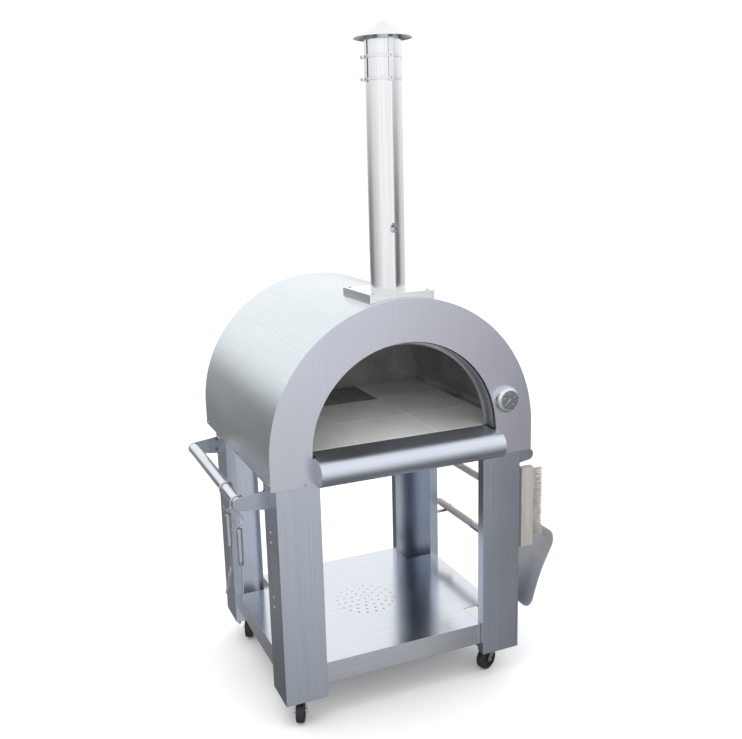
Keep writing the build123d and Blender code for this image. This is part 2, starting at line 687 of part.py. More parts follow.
def screws_and_bolts():
    """Every fastener of the fixed oven and cart."""
    items = [pan_head(*spot, shank=6) for spot in shell_screw_spots() + face_screw_spots()]
    items += [pan_head(*spot, shank=5) for spot in rear_screw_spots() + saddle_screw_spots()]
    items += [pan_head(*spot, shank=4) for spot in back_wall_screw_spots()]
    items += [hex_bolt(*spot, shank=9) for spot in bracket_bolt_spots()]
    items += [hex_bolt(*spot, r=5.0, h=2.6, shank=8) for spot in holder_bolt_spots(LEG_X + HOLDER_T)]
    for z in [z + BAND_H / 2 for z in BAND_ZS]:
        items.append(band_bolt(z))
        items += [strap_rivet(90 * i, z) for i in range(4)]
    return group(items)


# ---------------------------------------------------------------- casters
def caster_top_plates():
    """Fixed plates whose kingpins the forks turn on."""
    tops = []
    for x, y, _, _ in CASTERS.values():
        plate = Pos(x, y, CASTER_TOP_Z - 1.5) * Box(60, 60, 3)
        race = rod_z(RACE_Z, CASTER_TOP_Z - 2, x, y, 19)
        tops.append(plate + race + rod_z(RACE_Z - 6, RACE_Z + 1, x, y, KINGPIN_R))
    return group(tops)


def in_caster(name, part):
    """Place a part drawn with the wheel trailing along +X under its leg."""
    x, y, turn, _ = CASTERS[name]
    return Pos(x, y, 0) * Rot(0, 0, turn) * part


def fork_cheek(y0, y1):
    """One side of the fork, narrowing to the axle."""
    r = 8.5
    cheek = make_face([
        Line((-15, FORK_Z), (17, FORK_Z)),
        Line((17, FORK_Z), (TRAIL + r, WHEEL_R)),
        ThreePointArc((TRAIL + r, WHEEL_R), (TRAIL, WHEEL_R - r), (TRAIL - r, WHEEL_R)),
        Line((TRAIL - r, WHEEL_R), (-15, FORK_Z - 11)),
        Line((-15, FORK_Z - 11), (-15, FORK_Z)),
    ])
    return extrude_y(cheek, y0, y1)


def fork_frame(name):
    """Pressed fork; the braked ones carry two hinge lugs."""
    thick = 2.2
    outer = CHEEK_Y + thick
    crown = Pos(1, 0, FORK_Z - 1.2) * Box(32, 2 * outer, 2.4)
    fork = crown + fork_cheek(CHEEK_Y, outer) + fork_cheek(-outer, -CHEEK_Y)
    fork += rod_z(FORK_Z - 1, RACE_Z - 0.4, 0, 0, 20)
    fork -= rod_z(FORK_Z, RACE_Z, 0, 0, KINGPIN_R + RUN)
    fork -= rod_y(-60, 60, TRAIL, WHEEL_R, AXLE_R + 0.02)
    if CASTERS[name][3]:
        for x in (-2.0, 16.0):
            lug = rod_x(x, x + 3, PEDAL_Y, PEDAL_Z, 3.2)
            lug += block(x, x + 3, PEDAL_Y, -CHEEK_Y - 0.5, PEDAL_Z - 3.2, PEDAL_Z + 3.2)
            fork += lug
        fork -= rod_x(-5, 22, PEDAL_Y, PEDAL_Z, PEDAL_PIN_R + RUN)
    return fork


def caster_axle():
    """Bolt and nut that the wheel turns on."""
    reach = CHEEK_Y + 2.2
    axle = rod_y(-reach - 1, reach + 3, TRAIL, WHEEL_R, AXLE_R)
    for side, y in ((90, -reach - 0.05), (-90, reach + 0.05)):
        axle += Pos(TRAIL, y, WHEEL_R) * Rot(side, 0, 0) * extrude(RegularPolygon(7, 6), amount=4)
    return axle


def caster_fork(name):
    return group([in_caster(name, fork_frame(name)), in_caster(name, caster_axle())])


def caster_wheel(name):
    """Solid rubber wheel with a rounded tread and dished sides."""
    half = WHEEL_W / 2
    tread = rod_y(-half, half, TRAIL, WHEEL_R, WHEEL_R)
    tread = fillet(tread.edges().filter_by(GeomType.CIRCLE), 5)
    for side in (-1, 1):
        y0, y1 = sorted((side * (half - 3), side * (half + 1)))
        tread -= rod_y(y0, y1, TRAIL, WHEEL_R, 24) - rod_y(y0, y1, TRAIL, WHEEL_R, 10)
    return in_caster(name, tread - rod_y(-60, 60, TRAIL, WHEEL_R, AXLE_R + RUN))


def brake_pedal(name):
    """Foot lever hinged on the fork's outer cheek."""
    barrel = rod_x(1.4, 15.6, PEDAL_Y, PEDAL_Z, 3.0)
    pin = rod_x(-3, 20, PEDAL_Y, PEDAL_Z, PEDAL_PIN_R)
    y, z = PEDAL_Y, PEDAL_Z
    arm = Polyline((y + 1, z + 2.4), (y - 11, z - 7), (y - 20, z - 24), (y - 22, z - 23),
                   (y - 13.5, z - 5), (y, z + 3), (y + 1, z + 2.4))
    tread = Polyline((y - 22, z - 23), (y - 12, z - 26), (y - 12, z - 24),
                     (y - 21, z - 21), (y - 22, z - 23))
    lever = extrude_x(make_face(arm), 1.4, 15.6) + extrude_x(make_face(tread), -5, 22)
    return in_caster(name, barrel + pin + lever)


# ---------------------------------------------------------------- hooks and hanging tools
def s_hook(y):
    """Wire hook: one loop over the handle bar, one loop for a tool."""
    x, z = -BAR_X, BAR_Z
    low = z - HOOK_DROP
    cross = degrees(atan2(sqrt(HOOK_DROP ** 2 - (HOOK_TOP_R + HOOK_LOW_R) ** 2), HOOK_TOP_R + HOOK_LOW_R))
    # the straight stem touches the left of the top loop and the right of the low one
    start, end = -90 - cross, 90 - cross

    def on(cx, cz, r, a):
        return (cx + r * cos(radians(a)), cz + r * sin(radians(a)))

    top_tip, top_end = on(x, z, HOOK_TOP_R, -10), on(x, z, HOOK_TOP_R, start)
    low_start, low_tip = on(x, low, HOOK_LOW_R, end), on(x, low, HOOK_LOW_R, -190)
    path = Wire([
        ThreePointArc(top_tip, on(x, z, HOOK_TOP_R, (-10 + 360 + start) / 2), top_end).edge(),
        Line(top_end, low_start).edge(),
        ThreePointArc(low_start, on(x, low, HOOK_LOW_R, (end - 190) / 2), low_tip).edge(),
    ])
    plane = Plane(origin=(0, y, 0), x_dir=(1, 0, 0), z_dir=(0, -1, 0))
    path = plane * path
    section = Plane(origin=path @ 0, z_dir=path % 0) * Circle(WIRE_R)
    return sweep(section, path=path)


def in_tool(y, part):
    """Place a tool drawn hanging from the origin on its hook."""
    z = BAR_Z - HOOK_DROP - HOOK_LOW_R
    return Pos(-BAR_X, y, z) * Rot(0, 0, TOOL_TURN) * part


def tool_top_z():
    """Top of a grip below the wire that it hangs from."""
    return -(EYE_R - EYE_WIRE_R - WIRE_R - 0.5) - EYE_R - EYE_STEM


def tool_grip(y, socket_r):
    """Tubular grip with a collar, a rounded end, a socket and a wire eye."""
    top = tool_top_z()
    eye = Pos(0, 0, top + EYE_STEM + EYE_R) * Rot(0, 90, 0) * Torus(EYE_R, EYE_WIRE_R)
    eye += rod_z(top, top + EYE_STEM, 0, 0, EYE_WIRE_R)
    down = (Align.CENTER, Align.CENTER, Align.MAX)
    cap = Pos(0, 0, top + 0.6) * Cylinder(GRIP_R + 0.8, 5, align=down)
    cap = fillet(cap.edges().group_by(Axis.Z)[-1], 2.0)
    tube = Pos(0, 0, top - 4) * Cylinder(GRIP_R, GRIP_LEN - 4, align=down)
    tube = fillet(tube.edges().group_by(Axis.Z)[0], 2.0)
    tube -= Pos(0, 0, top - GRIP_LEN) * Cylinder(socket_r + 0.02, 2 * SOCKET_DEPTH)
    return in_tool(y, eye + cap + tube)


def turner_blade(y):
    """Round shaft that flattens into a bent turner blade."""
    top = tool_top_z() - GRIP_LEN
    up = (Align.CENTER, Align.CENTER, Align.MAX)
    shaft = Pos(0, 0, top + SOCKET_DEPTH - 0.1) * Cylinder(TURNER_SHAFT_R, 72 + SOCKET_DEPTH, align=up)
    blade = make_face(Polyline((-9, 0), (9, 0), (35, -22), (35, -84), (-35, -84), (-35, -22), (-9, 0)))
    plane = Plane(origin=(0, 0, top - 66), x_dir=(0, 1, 0), z_dir=(1, 0, 0))
    flat = extrude(plane * blade, amount=1.6, both=True)
    hinge = Axis((0, 0, top - 66), (0, 1, 0))
    flat = flat.rotate(hinge, 11)
    slots = [Pos(0, dy, top - 112) * Rot(0, 11, 0) * Box(40, 5, 40) for dy in (-16, 0, 16)]
    for slot in slots:
        flat -= slot
    return in_tool(y, shaft + flat)


def scraper_bar(y):
    """Ringed ferrule and flat bar that ends in a chisel edge."""
    top = tool_top_z() - GRIP_LEN
    up = (Align.CENTER, Align.CENTER, Align.MAX)
    ferrule = Pos(0, 0, top + SOCKET_DEPTH - 0.1) * Cylinder(FERRULE_R, 13 + SOCKET_DEPTH, align=up)
    for dz in (-2.5, -9.5):
        ferrule += Pos(0, 0, top + dz) * Cylinder(FERRULE_R + 1.8, 3.4)
    bar = Pos(0, 0, top - 62) * Box(3, 11, 104)
    tip = make_face(Polyline((-1.5, 0), (1.5, 0), (0.3, -18), (-0.3, -18), (-1.5, 0)))
    plane = Plane(origin=(0, -13, top - 113.9), x_dir=(1, 0, 0), z_dir=(0, -1, 0))
    chisel = extrude(plane * tip, amount=26, dir=(0, 1, 0))
    return in_tool(y, ferrule + bar + chisel)


# ---------------------------------------------------------------- peel, brush and their holders
def holder(y, rod_x0, rod_z0, rod_r, top_z):
    """J strap: down the leg's side, out under a rod and up past it."""
    x0 = LEG_X
    reach = rod_x0 + rod_r + 1.0
    foot_z = rod_z0 - rod_r - 0.4
    y0, y1 = y - HOLDER_W / 2, y + HOLDER_W / 2
    back = block(x0, x0 + HOLDER_T, y0, y1, foot_z - HOLDER_T, top_z)
    foot = block(x0, reach + HOLDER_T, y0, y1, foot_z - HOLDER_T, foot_z)
    lip = block(reach, reach + HOLDER_T, y0, y1, foot_z - HOLDER_T, foot_z + rod_r * 1.5)
    strap_solid = back + foot + lip
    return drilled(strap_solid, holder_bolt_spots(x0), HOLDER_HOLE_R)


def peel_lower_edge():
    """X and Z of the blade's lower edge."""
    tilt = radians(PEEL_TILT)
    half = PEEL_W / 2
    dish = half ** 2 / (2 * PEEL_DISH_R)
    return (PEEL_X - half * sin(tilt) + dish * cos(tilt), PEEL_Z - half * cos(tilt) - dish * sin(tilt))


def blade_rest():
    """Long strap low on the front right leg that the peel's edge stands in."""
    x0, y0, y1 = LEG_X, HOLDER_FRONT_Y - HOLDER_W / 2, HOLDER_FRONT_Y + HOLDER_W / 2
    edge_x, edge_z = peel_lower_edge()
    low, reach = edge_z - HOLDER_T - 0.8, edge_x + 9
    back = block(x0, x0 + HOLDER_T, y0, y1, low, HOLDER_BOLT_ZS[1] + 20)
    foot = block(x0, reach, y0, y1, low, low + HOLDER_T)
    lip = block(reach, reach + HOLDER_T, y0, y1, low, low + 14)
    return drilled(back + foot + lip, holder_bolt_spots(x0), HOLDER_HOLE_R)


def tool_holders():
    return group([
        holder(HOLDER_FRONT_Y, BRUSH_X, BRUSH_Z, BRUSH_ROD_R, HOLDER_BOLT_ZS[3] + 12),
        holder(HOLDER_REAR_Y, BRUSH_X, BRUSH_Z, BRUSH_ROD_R, HOLDER_BOLT_ZS[3] + 12),
        holder(HOLDER_REAR_Y, PEEL_X, PEEL_Z, PEEL_ROD_R, HOLDER_BOLT_ZS[1] + 12),
        blade_rest(),
    ])


def brush_block():
    wood = block(BRUSH_X - 31, BRUSH_X + 17, BRUSH_Y, BRUSH_Y + 26,
                 BRUSH_Z - BRUSH_LEN / 2, BRUSH_Z + BRUSH_LEN / 2)
    wood = fillet(wood.edges(), 3.0)
    return wood - rod_y(BRUSH_Y + 12, BRUSH_Y + 40, BRUSH_X, BRUSH_Z, BRUSH_ROD_R - 1.98)


def brush_bristles():
    """Rows of stiff tufts along the block."""
    x0 = BRUSH_X + 17
    low, high = BRUSH_Z - BRUSH_LEN / 2 + 36, BRUSH_Z + BRUSH_LEN / 2 - 14
    tufts = []
    for i in range(BRISTLE_ROWS):
        z = low + i * (high - low) / (BRISTLE_ROWS - 1)
        tufts.append(block(x0 + 0.02, x0 + BRISTLE_LEN, BRUSH_Y + 3, BRUSH_Y + 23, z - 3.2, z + 3.2))
    return group(tufts)


def brush_handle():
    rod = rod_y(BRUSH_Y + 26.05, ROD_END_Y - 25, BRUSH_X, BRUSH_Z, BRUSH_ROD_R)
    rod = fillet(rod.edges().group_by(Axis.Y)[-1], 5)
    return rod + rod_y(BRUSH_Y + 13, BRUSH_Y + 27, BRUSH_X, BRUSH_Z, BRUSH_ROD_R - 2)


def in_peel(part):
    """Turn a part drawn with an upright blade to the peel's lean."""
    return Pos(PEEL_X, 0, PEEL_Z) * Rot(0, PEEL_TILT, 0) * part


def peel_blade():
    """Shallow dished blade, drawn down to a neck behind."""
    half = PEEL_W / 2
    y0, y1 = PEEL_FRONT_Y, PEEL_FRONT_Y + PEEL_LEN
    outline = make_face(Polyline((y0, -half), (y0, half), (y1 - 70, half), (y1, 16), (FERRULE_Y + 4, 11),
                                 (FERRULE_Y + 4, -11), (y1, -16), (y1 - 70, -half), (y0, -half)))
    corners = outline.vertices().filter_by(lambda v: v.X < y1 - 60)
    outline = fillet(corners, PEEL_CORNER_R)
    solid = extrude(Plane.YZ * outline, amount=60, both=True)
    inner = Pos(PEEL_DISH_R, 0, 0) * Rot(90, 0, 0) * Cylinder(PEEL_DISH_R, 1400)
    outer = Pos(PEEL_DISH_R, 0, 0) * Rot(90, 0, 0) * Cylinder(PEEL_DISH_R + 1.6, 1400)
    return in_peel(solid & (outer - inner))


def peel_handle():
    rod = rod_y(FERRULE_Y + 34.1, ROD_END_Y, PEEL_X, PEEL_Z, PEEL_ROD_R)
    return fillet(rod.edges().group_by(Axis.Y)[-1], 5)


def peel_ferrule():
    """Socket between the blade's neck and the handle."""
    tube = rod_y(FERRULE_Y + 4.1, FERRULE_Y + 62, PEEL_X, PEEL_Z, PEEL_ROD_R + 1.2)
    return tube - rod_y(FERRULE_Y + 34, FERRULE_Y + 70, PEEL_X, PEEL_Z, PEEL_ROD_R + 0.02)


# ---------------------------------------------------------------- assembly
def legs():
    """Four legs from one channel, each drilled for its handle bracket."""
    front_left = leg()
    front_right = mirror(front_left, about=Plane.YZ)
    placed = {
        "leg_front_left": front_left,
        "leg_front_right": front_right,
        "leg_rear_left": turned_to_rear(front_right),
        "leg_rear_right": turned_to_rear(front_left),
    }
    return {name: drilled(part, bracket_bolt_spots(), BOLT_R + 0.2) for name, part in placed.items()}


def build_nodes():
    """Every sub-part by name, drawn about the oven's own middle."""
    nodes = {
        "outer_shell": outer_shell(),
        "face_plate": face_plate(),
        "mouth_throat": mouth_throat(),
        "rear_panel": rear_panel(),
        "inner_liner": inner_liner(),
        "inner_back_wall": inner_back_wall(),
        "insulation": insulation(),
        "base_pan": base_pan(),
        "floor_tiles": floor_tiles(),
        "floor_rails": floor_rails(),
        "charcoal_grate": charcoal_grate(),
        "landing_shelf": landing_shelf(),
        "landing_end_caps": landing_end_caps(),
        "thermometer_bezel": thermometer_bezel(),
        "thermometer_dial": thermometer_dial(),
        "thermometer_needle": thermometer_needle(),
        "thermometer_lens": thermometer_lens(),
        "thermometer_probe": thermometer_probe(),
        "chimney_base": chimney_base(),
        "flue_pipe": flue_pipe(),
        "damper_disc": damper_disc(),
        "damper_rod": damper_rod(),
        "cap_bands": cap_bands(),
        "cap_straps": cap_straps(),
        "rain_cap": rain_cap(),
        **legs(),
        "foot_plates": foot_plates(),
        "cart_rails": cart_rails(),
        "lower_shelf": lower_shelf(),
        "handle_brackets": handle_brackets(),
        "left_handle_bar": handle_bar(-1),
        "right_handle_bar": handle_bar(1),
        "screws_and_bolts": screws_and_bolts(),
        "caster_top_plates": caster_top_plates(),
        "s_hook_front": s_hook(HOOK_FRONT_Y),
        "s_hook_rear": s_hook(HOOK_REAR_Y),
        "scraper_grip": tool_grip(HOOK_FRONT_Y, FERRULE_R),
        "scraper_bar": scraper_bar(HOOK_FRONT_Y),
        "turner_grip": tool_grip(HOOK_REAR_Y, TURNER_SHAFT_R),
        "turner_blade": turner_blade(HOOK_REAR_Y),
        "tool_holders": tool_holders(),
        "brush_block": brush_block(),
        "brush_bristles": brush_bristles(),
        "brush_handle": brush_handle(),
        "peel_blade": peel_blade(),
        "peel_ferrule": peel_ferrule(),
        "peel_handle": peel_handle(),
    }
    for name, (_, _, _, braked) in CASTERS.items():
        nodes["caster_fork_" + name] = caster_fork(name)
        nodes["caster_wheel_" + name] = caster_wheel(name)
        if braked:
            nodes["brake_pedal_" + name] = brake_pedal(name)
    return nodes


def overall_box(nodes):
    """Lowest and highest corner of the whole oven."""
    boxes = [part.bounding_box() for part in nodes.values()]
    low = [min(getattr(box.min, axis) for box in boxes) for axis in "XYZ"]
    high = [max(getattr(box.max, axis) for box in boxes) for axis in "XYZ"]
    return low, high


def main():
    os.makedirs("parts", exist_ok=True)
    nodes = build_nodes()
    low, high = overall_box(nodes)
    shift = Pos(-(low[0] + high[0]) / 2, -(low[1] + high[1]) / 2, -low[2])
    print("nodes", len(nodes), "moved by", shift.position)
    print("size", [round(h - l, 2) for l, h in zip(low, high)])
    for name, part in nodes.items():
        export_step(shift * part, f"parts/{name}.step")


if __name__ == "__main__":
    main()
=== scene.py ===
"""Looks for a wood fired pizza oven on a wheeled cart.

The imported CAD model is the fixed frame. Each sub-assembly below gives its CAD
nodes their finish and adds the small pieces that the CAD leaves out.
"""

import logging
import math
from dataclasses import dataclass
from enum import Enum
from typing import Any, Protocol, Sequence

import bmesh
import bpy
from mathutils import Matrix, Vector

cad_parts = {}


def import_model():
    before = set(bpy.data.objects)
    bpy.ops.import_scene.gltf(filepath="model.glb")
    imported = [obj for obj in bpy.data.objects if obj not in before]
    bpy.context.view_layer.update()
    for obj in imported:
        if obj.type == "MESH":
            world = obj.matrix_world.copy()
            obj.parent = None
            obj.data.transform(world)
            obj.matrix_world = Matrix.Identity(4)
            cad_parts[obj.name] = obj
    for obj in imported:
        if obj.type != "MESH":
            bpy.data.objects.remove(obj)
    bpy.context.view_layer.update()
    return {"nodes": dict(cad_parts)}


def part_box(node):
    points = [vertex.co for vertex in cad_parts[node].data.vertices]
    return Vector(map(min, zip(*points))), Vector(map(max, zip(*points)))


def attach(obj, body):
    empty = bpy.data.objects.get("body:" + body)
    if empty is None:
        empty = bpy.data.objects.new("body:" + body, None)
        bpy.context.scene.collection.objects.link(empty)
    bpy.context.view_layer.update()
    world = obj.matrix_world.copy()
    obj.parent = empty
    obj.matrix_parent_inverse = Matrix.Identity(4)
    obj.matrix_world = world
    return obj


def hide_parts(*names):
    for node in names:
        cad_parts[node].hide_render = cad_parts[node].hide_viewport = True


LOG = logging.getLogger("pizza_oven")
MM = 0.001
WHITE = (1.0, 1.0, 1.0, 1.0)
UNSCALED_MM = 1000.0            # noise on coordinates that are stretched already


# ---------------------------------------------------------------- small tools
def linear(colour: str) -> tuple[float, float, float, float]:
    """Turn an sRGB hex colour to linear RGBA.

    Args:
        colour: six hex digits after a #.

    Returns:
        Linear red, green, blue and an alpha of 1.
    """
    parts = [int(colour[i:i + 2], 16) / 255 for i in (1, 3, 5)]
    bent = [c / 12.92 if c <= 0.04045 else ((c + 0.055) / 1.055) ** 2.4 for c in parts]
    return (bent[0], bent[1], bent[2], 1.0)


def add_node(tree: bpy.types.NodeTree, kind: str, values: dict[Any, Any] | None = None,
             links: dict[Any, Any] | None = None, **settings: Any) -> bpy.types.Node:
    """Add one node with its settings, socket values and incoming links.

    Args:
        tree: the node tree that gets the node.
        kind: the node's full type name.
        values: socket name or index to constant.
        links: socket name or index to the output socket that feeds it.
        **settings: the node's own attributes.

    Returns:
        The new node.
    """
    node = tree.nodes.new(kind)
    for name, value in settings.items():
        setattr(node, name, value)
    for name, value in (values or {}).items():
        node.inputs[name].default_value = value
    for name, socket in (links or {}).items():
        tree.links.new(socket, node.inputs[name])
    return node


def new_material(name: str) -> tuple[bpy.types.Material, bpy.types.NodeTree, bpy.types.Node,
                                     bpy.types.NodeSocket]:
    """Start a material with a lone Principled shader.

    Args:
        name: the finish's name.

    Returns:
        The material, its tree, the shader node and the object's own coordinates.
    """
    material = bpy.data.materials.new(name)
    material.use_nodes = True
    tree = material.node_tree
    tree.nodes.clear()
    shader = add_node(tree, "ShaderNodeBsdfPrincipled")
    add_node(tree, "ShaderNodeOutputMaterial", links={"Surface": shader.outputs[0]})
    where = add_node(tree, "ShaderNodeTexCoord").outputs["Object"]
    return material, tree, shader, where


def feed(tree: bpy.types.NodeTree, shader: bpy.types.Node,
         links: dict[str, bpy.types.NodeSocket], values: dict[str, Any] | None = None) -> None:
    """Link outputs to the shader's sockets and set its constants.

    Args:
        tree: the material's tree.
        shader: the node that is fed.
        links: socket name to the output that feeds it.
        values: socket name to constant.
    """
    for name, socket in links.items():
        tree.links.new(socket, shader.inputs[name])
    for name, value in (values or {}).items():
        shader.inputs[name].default_value = value


def noise(tree: bpy.types.NodeTree, where: bpy.types.NodeSocket, size_mm: float,
          detail: float = 2.0, roughness: float = 0.5,
          distortion: float = 0.0) -> bpy.types.NodeSocket:
    """Add layered noise.

    Args:
        tree: the material's tree.
        where: the coordinates that it reads, in metres.
        size_mm: about how wide its largest features are.
        detail: how many finer layers it has.
        roughness: how strong each finer layer is.
        distortion: how far it is stirred.

    Returns:
        Its value.
    """
    node = add_node(tree, "ShaderNodeTexNoise",
                    {"Scale": 1000 / size_mm, "Detail": detail, "Roughness": roughness,
                     "Distortion": distortion}, {"Vector": where})
    return node.outputs[0]


def stretched(tree: bpy.types.NodeTree, where: bpy.types.NodeSocket, grain: "Grain",
              across_mm: float, along_mm: float) -> bpy.types.NodeSocket:
    """Stretch coordinates along the grain.

    Args:
        tree: the material's tree.
        where: coordinates in metres.
        grain: which axes are the long ones.
        across_mm: length of one unit across the grain.
        along_mm: length of one unit along it.

    Returns:
        The stretched coordinates.
    """
    scale = tuple(1000 / (along_mm if along else across_mm) for along in grain.value)
    return add_node(tree, "ShaderNodeMapping", {"Scale": scale}, {"Vector": where}).outputs[0]


def spread(tree: bpy.types.NodeTree, value: bpy.types.NodeSocket, start: float, end: float,
           low: float = 0.0, high: float = 1.0) -> bpy.types.NodeSocket:
    """Map start..end to low..high and hold the ends."""
    node = add_node(tree, "ShaderNodeMapRange",
                    {"From Min": start, "From Max": end, "To Min": low, "To Max": high},
                    {"Value": value})
    return node.outputs[0]


def tint(tree: bpy.types.NodeTree, share: bpy.types.NodeSocket,
         first: Any, second: Any) -> bpy.types.NodeSocket:
    """Mix two colours.

    Args:
        tree: the material's tree.
        share: how much of the second colour shows.
        first: linear RGBA or a socket.
        second: linear RGBA or a socket.

    Returns:
        The mixed colour.
    """
    ends = {6: first, 7: second}
    values = {index: end for index, end in ends.items() if isinstance(end, tuple)}
    links = {index: end for index, end in ends.items() if index not in values}
    return add_node(tree, "ShaderNodeMix", values, {0: share, **links},
                    data_type="RGBA").outputs[2]


def bump(tree: bpy.types.NodeTree, height: bpy.types.NodeSocket, depth_mm: float,
         strength: float = 1.0, normal: bpy.types.NodeSocket | None = None
         ) -> bpy.types.NodeSocket:
    """Raise a surface by a height, on top of an earlier normal if there is one."""
    links = {"Height": height} if normal is None else {"Height": height, "Normal": normal}
    return add_node(tree, "ShaderNodeBump", {"Strength": strength, "Distance": depth_mm * MM},
                    links).outputs[0]


def maths(tree: bpy.types.NodeTree, operation: str, *terms: Any) -> bpy.types.NodeSocket:
    """Add one step of arithmetic on numbers and sockets."""
    values = {i: term for i, term in enumerate(terms) if isinstance(term, (int, float))}
    links = {i: term for i, term in enumerate(terms) if i not in values}
    return add_node(tree, "ShaderNodeMath", values, links, operation=operation).outputs[0]


def vector(tree: bpy.types.NodeTree, *parts: Any) -> bpy.types.NodeSocket:
    """Join X, Y and Z, each a number or a socket."""
    values = {i: part for i, part in enumerate(parts) if isinstance(part, (int, float))}
    links = {i: part for i, part in enumerate(parts) if i not in values}
    return add_node(tree, "ShaderNodeCombineXYZ", values, links).outputs[0]


def dress(node: bpy.types.Object, material: bpy.types.Material) -> None:
    """Give a CAD node or a piece its material."""
    if not node.material_slots:
        node.data.materials.append(material)
    for slot in node.material_slots:
        slot.material = material


def mesh_object(name: str, verts: Sequence[Sequence[float]],
                faces: Sequence[Sequence[int]]) -> bpy.types.Object:
    """Make a mesh object at the origin with its normals outward.

    Args:
        name: the piece's name.
        verts: points in metres.
        faces: corner indices of each face.

    Returns:
        The linked object.
    """
    mesh = bpy.data.meshes.new(name)
    mesh.from_pydata([tuple(v) for v in verts], [], [tuple(f) for f in faces])
    shape = bmesh.new()
    shape.from_mesh(mesh)
    bmesh.ops.recalc_face_normals(shape, faces=shape.faces)
    shape.to_mesh(mesh)
    shape.free()
    piece = bpy.data.objects.new(name, mesh)
    bpy.context.scene.collection.objects.link(piece)
    return piece


def grown_object(name: str, tree: bpy.types.NodeTree, inputs: dict[str, Any],
                 place: Matrix) -> bpy.types.Object:
    """Run a Geometry Nodes tree once and keep its result as a plain mesh.

    Args:
        name: the piece's name.
        tree: the tree to run.
        inputs: input name to value.
        place: where the result goes, in metres.

    Returns:
        A plain mesh object at the origin.
    """
    carrier = bpy.data.objects.new(name + "_carrier", bpy.data.meshes.new(name + "_carrier"))
    bpy.context.scene.collection.objects.link(carrier)
    modifier = carrier.modifiers.new("grow", "NODES")
    modifier.node_group = tree
    for item in tree.interface.items_tree:
        if item.item_type == "SOCKET" and item.in_out == "INPUT" and item.name in inputs:
            modifier[item.identifier] = inputs[item.name]
    carrier.update_tag()
    evaluated = carrier.evaluated_get(bpy.context.evaluated_depsgraph_get())
    mesh = bpy.data.meshes.new_from_object(evaluated)
    mesh.name = name
    carrier.modifiers.clear()
    bpy.data.objects.remove(carrier)
    mesh.transform(place)
    piece = bpy.data.objects.new(name, mesh)
    bpy.context.scene.collection.objects.link(piece)
    return piece


def new_growth(name: str, inputs: Sequence[tuple[str, str, Any]]
               ) -> tuple[bpy.types.NodeTree, bpy.types.Node]:
    """Start a Geometry Nodes tree with named inputs and one geometry output.

    Args:
        name: the tree's name.
        inputs: name, socket type and default of each input.

    Returns:
        The tree and its group input node.
    """
    tree = bpy.data.node_groups.new(name, "GeometryNodeTree")
    tree.interface.new_socket("Geometry", in_out="OUTPUT", socket_type="NodeSocketGeometry")
    for label, kind, default in inputs:
        socket = tree.interface.new_socket(label, in_out="INPUT", socket_type=kind)
        if default is not None:
            socket.default_value = default
    return tree, add_node(tree, "NodeGroupInput")


def close_growth(tree: bpy.types.NodeTree, geometry: bpy.types.NodeSocket,
                 material: bpy.types.NodeSocket) -> None:
    """End a tree in Realize Instances and Set Material."""
    real = add_node(tree, "GeometryNodeRealizeInstances", links={0: geometry})
    dressed = add_node(tree, "GeometryNodeSetMaterial",
                       links={"Geometry": real.outputs[0], "Material": material})
    add_node(tree, "NodeGroupOutput", links={0: dressed.outputs[0]})


@dataclass(frozen=True)
class Datum:
    """The oven's own zero: middle of the oven, front of the face plate, the ground."""

    x: float
    y: float

    def at(self, x: float, y: float, z: float) -> Vector:
        """Turn millimetres from the oven's zero to metres in the shared frame."""
        return Vector((self.x + x * MM, self.y + y * MM, z * MM))


# ---------------------------------------------------------------- finishes
class Grain(Enum):
    """Way the abrasive belt ran over a sheet: which axes the lines are long in."""

    ALONG_X = (True, False, False)
    ALONG_Y = (False, True, False)
    ALONG_Z = (False, False, True)
    ROUND_Y = (True, False, True)
    LEVEL = (True, True, False)


@dataclass(frozen=True)
class BrushedSteel:
    """Belt-brushed 430 stainless sheet.

    The eye gets long fine lines, soft stretched reflections, a slight wave where
    the thin sheet is not quite flat, and faint handling marks.
    """

    name: str
    grain: Grain
    colour: str = "#d0d4dc"
    shade: str = "#c3c7cf"
    roughness: float = 0.3
    line_mm: float = 2.2          # real lines are 0.1 mm apart, too fine to show
    line_length_mm: float = 420.0
    line_depth_mm: float = 0.004
    wave_mm: float = 300.0
    wave_depth_mm: float = 0.5
    edge_mm: float = 1.2

    def material(self) -> bpy.types.Material:
        """Build the material.

        Returns:
            The finished material.
        """
        material, tree, shader, where = new_material(self.name)
        lines = noise(tree, stretched(tree, where, self.grain, self.line_mm, self.line_length_mm),
                      UNSCALED_MM, 3.0, 0.65)
        cloud = noise(tree, where, 260, 2.0, 0.4)
        marks = noise(tree, where, 9, 4.0, 0.7)
        share = maths(tree, "MULTIPLY_ADD", cloud, 0.2, maths(tree, "MULTIPLY", lines, 0.8))
        colour = tint(tree, spread(tree, share, 0.34, 0.66), linear(self.shade),
                      linear(self.colour))
        even = spread(tree, cloud, 0.3, 0.7, self.roughness * 0.9, self.roughness * 1.1)
        rough = maths(tree, "ADD", even, spread(tree, marks, 0.56, 0.72, 0.0, 0.01))
        edge = add_node(tree, "ShaderNodeBevel", {"Radius": self.edge_mm * MM}, samples=4)
        wave = bump(tree, noise(tree, where, self.wave_mm, 1.0), self.wave_depth_mm,
                    normal=edge.outputs[0])
        brushed = bump(tree, lines, self.line_depth_mm, normal=wave)
        feed(tree, shader, {"Base Color": colour, "Roughness": rough, "Normal": brushed},
             {"Metallic": 1.0})
        return material


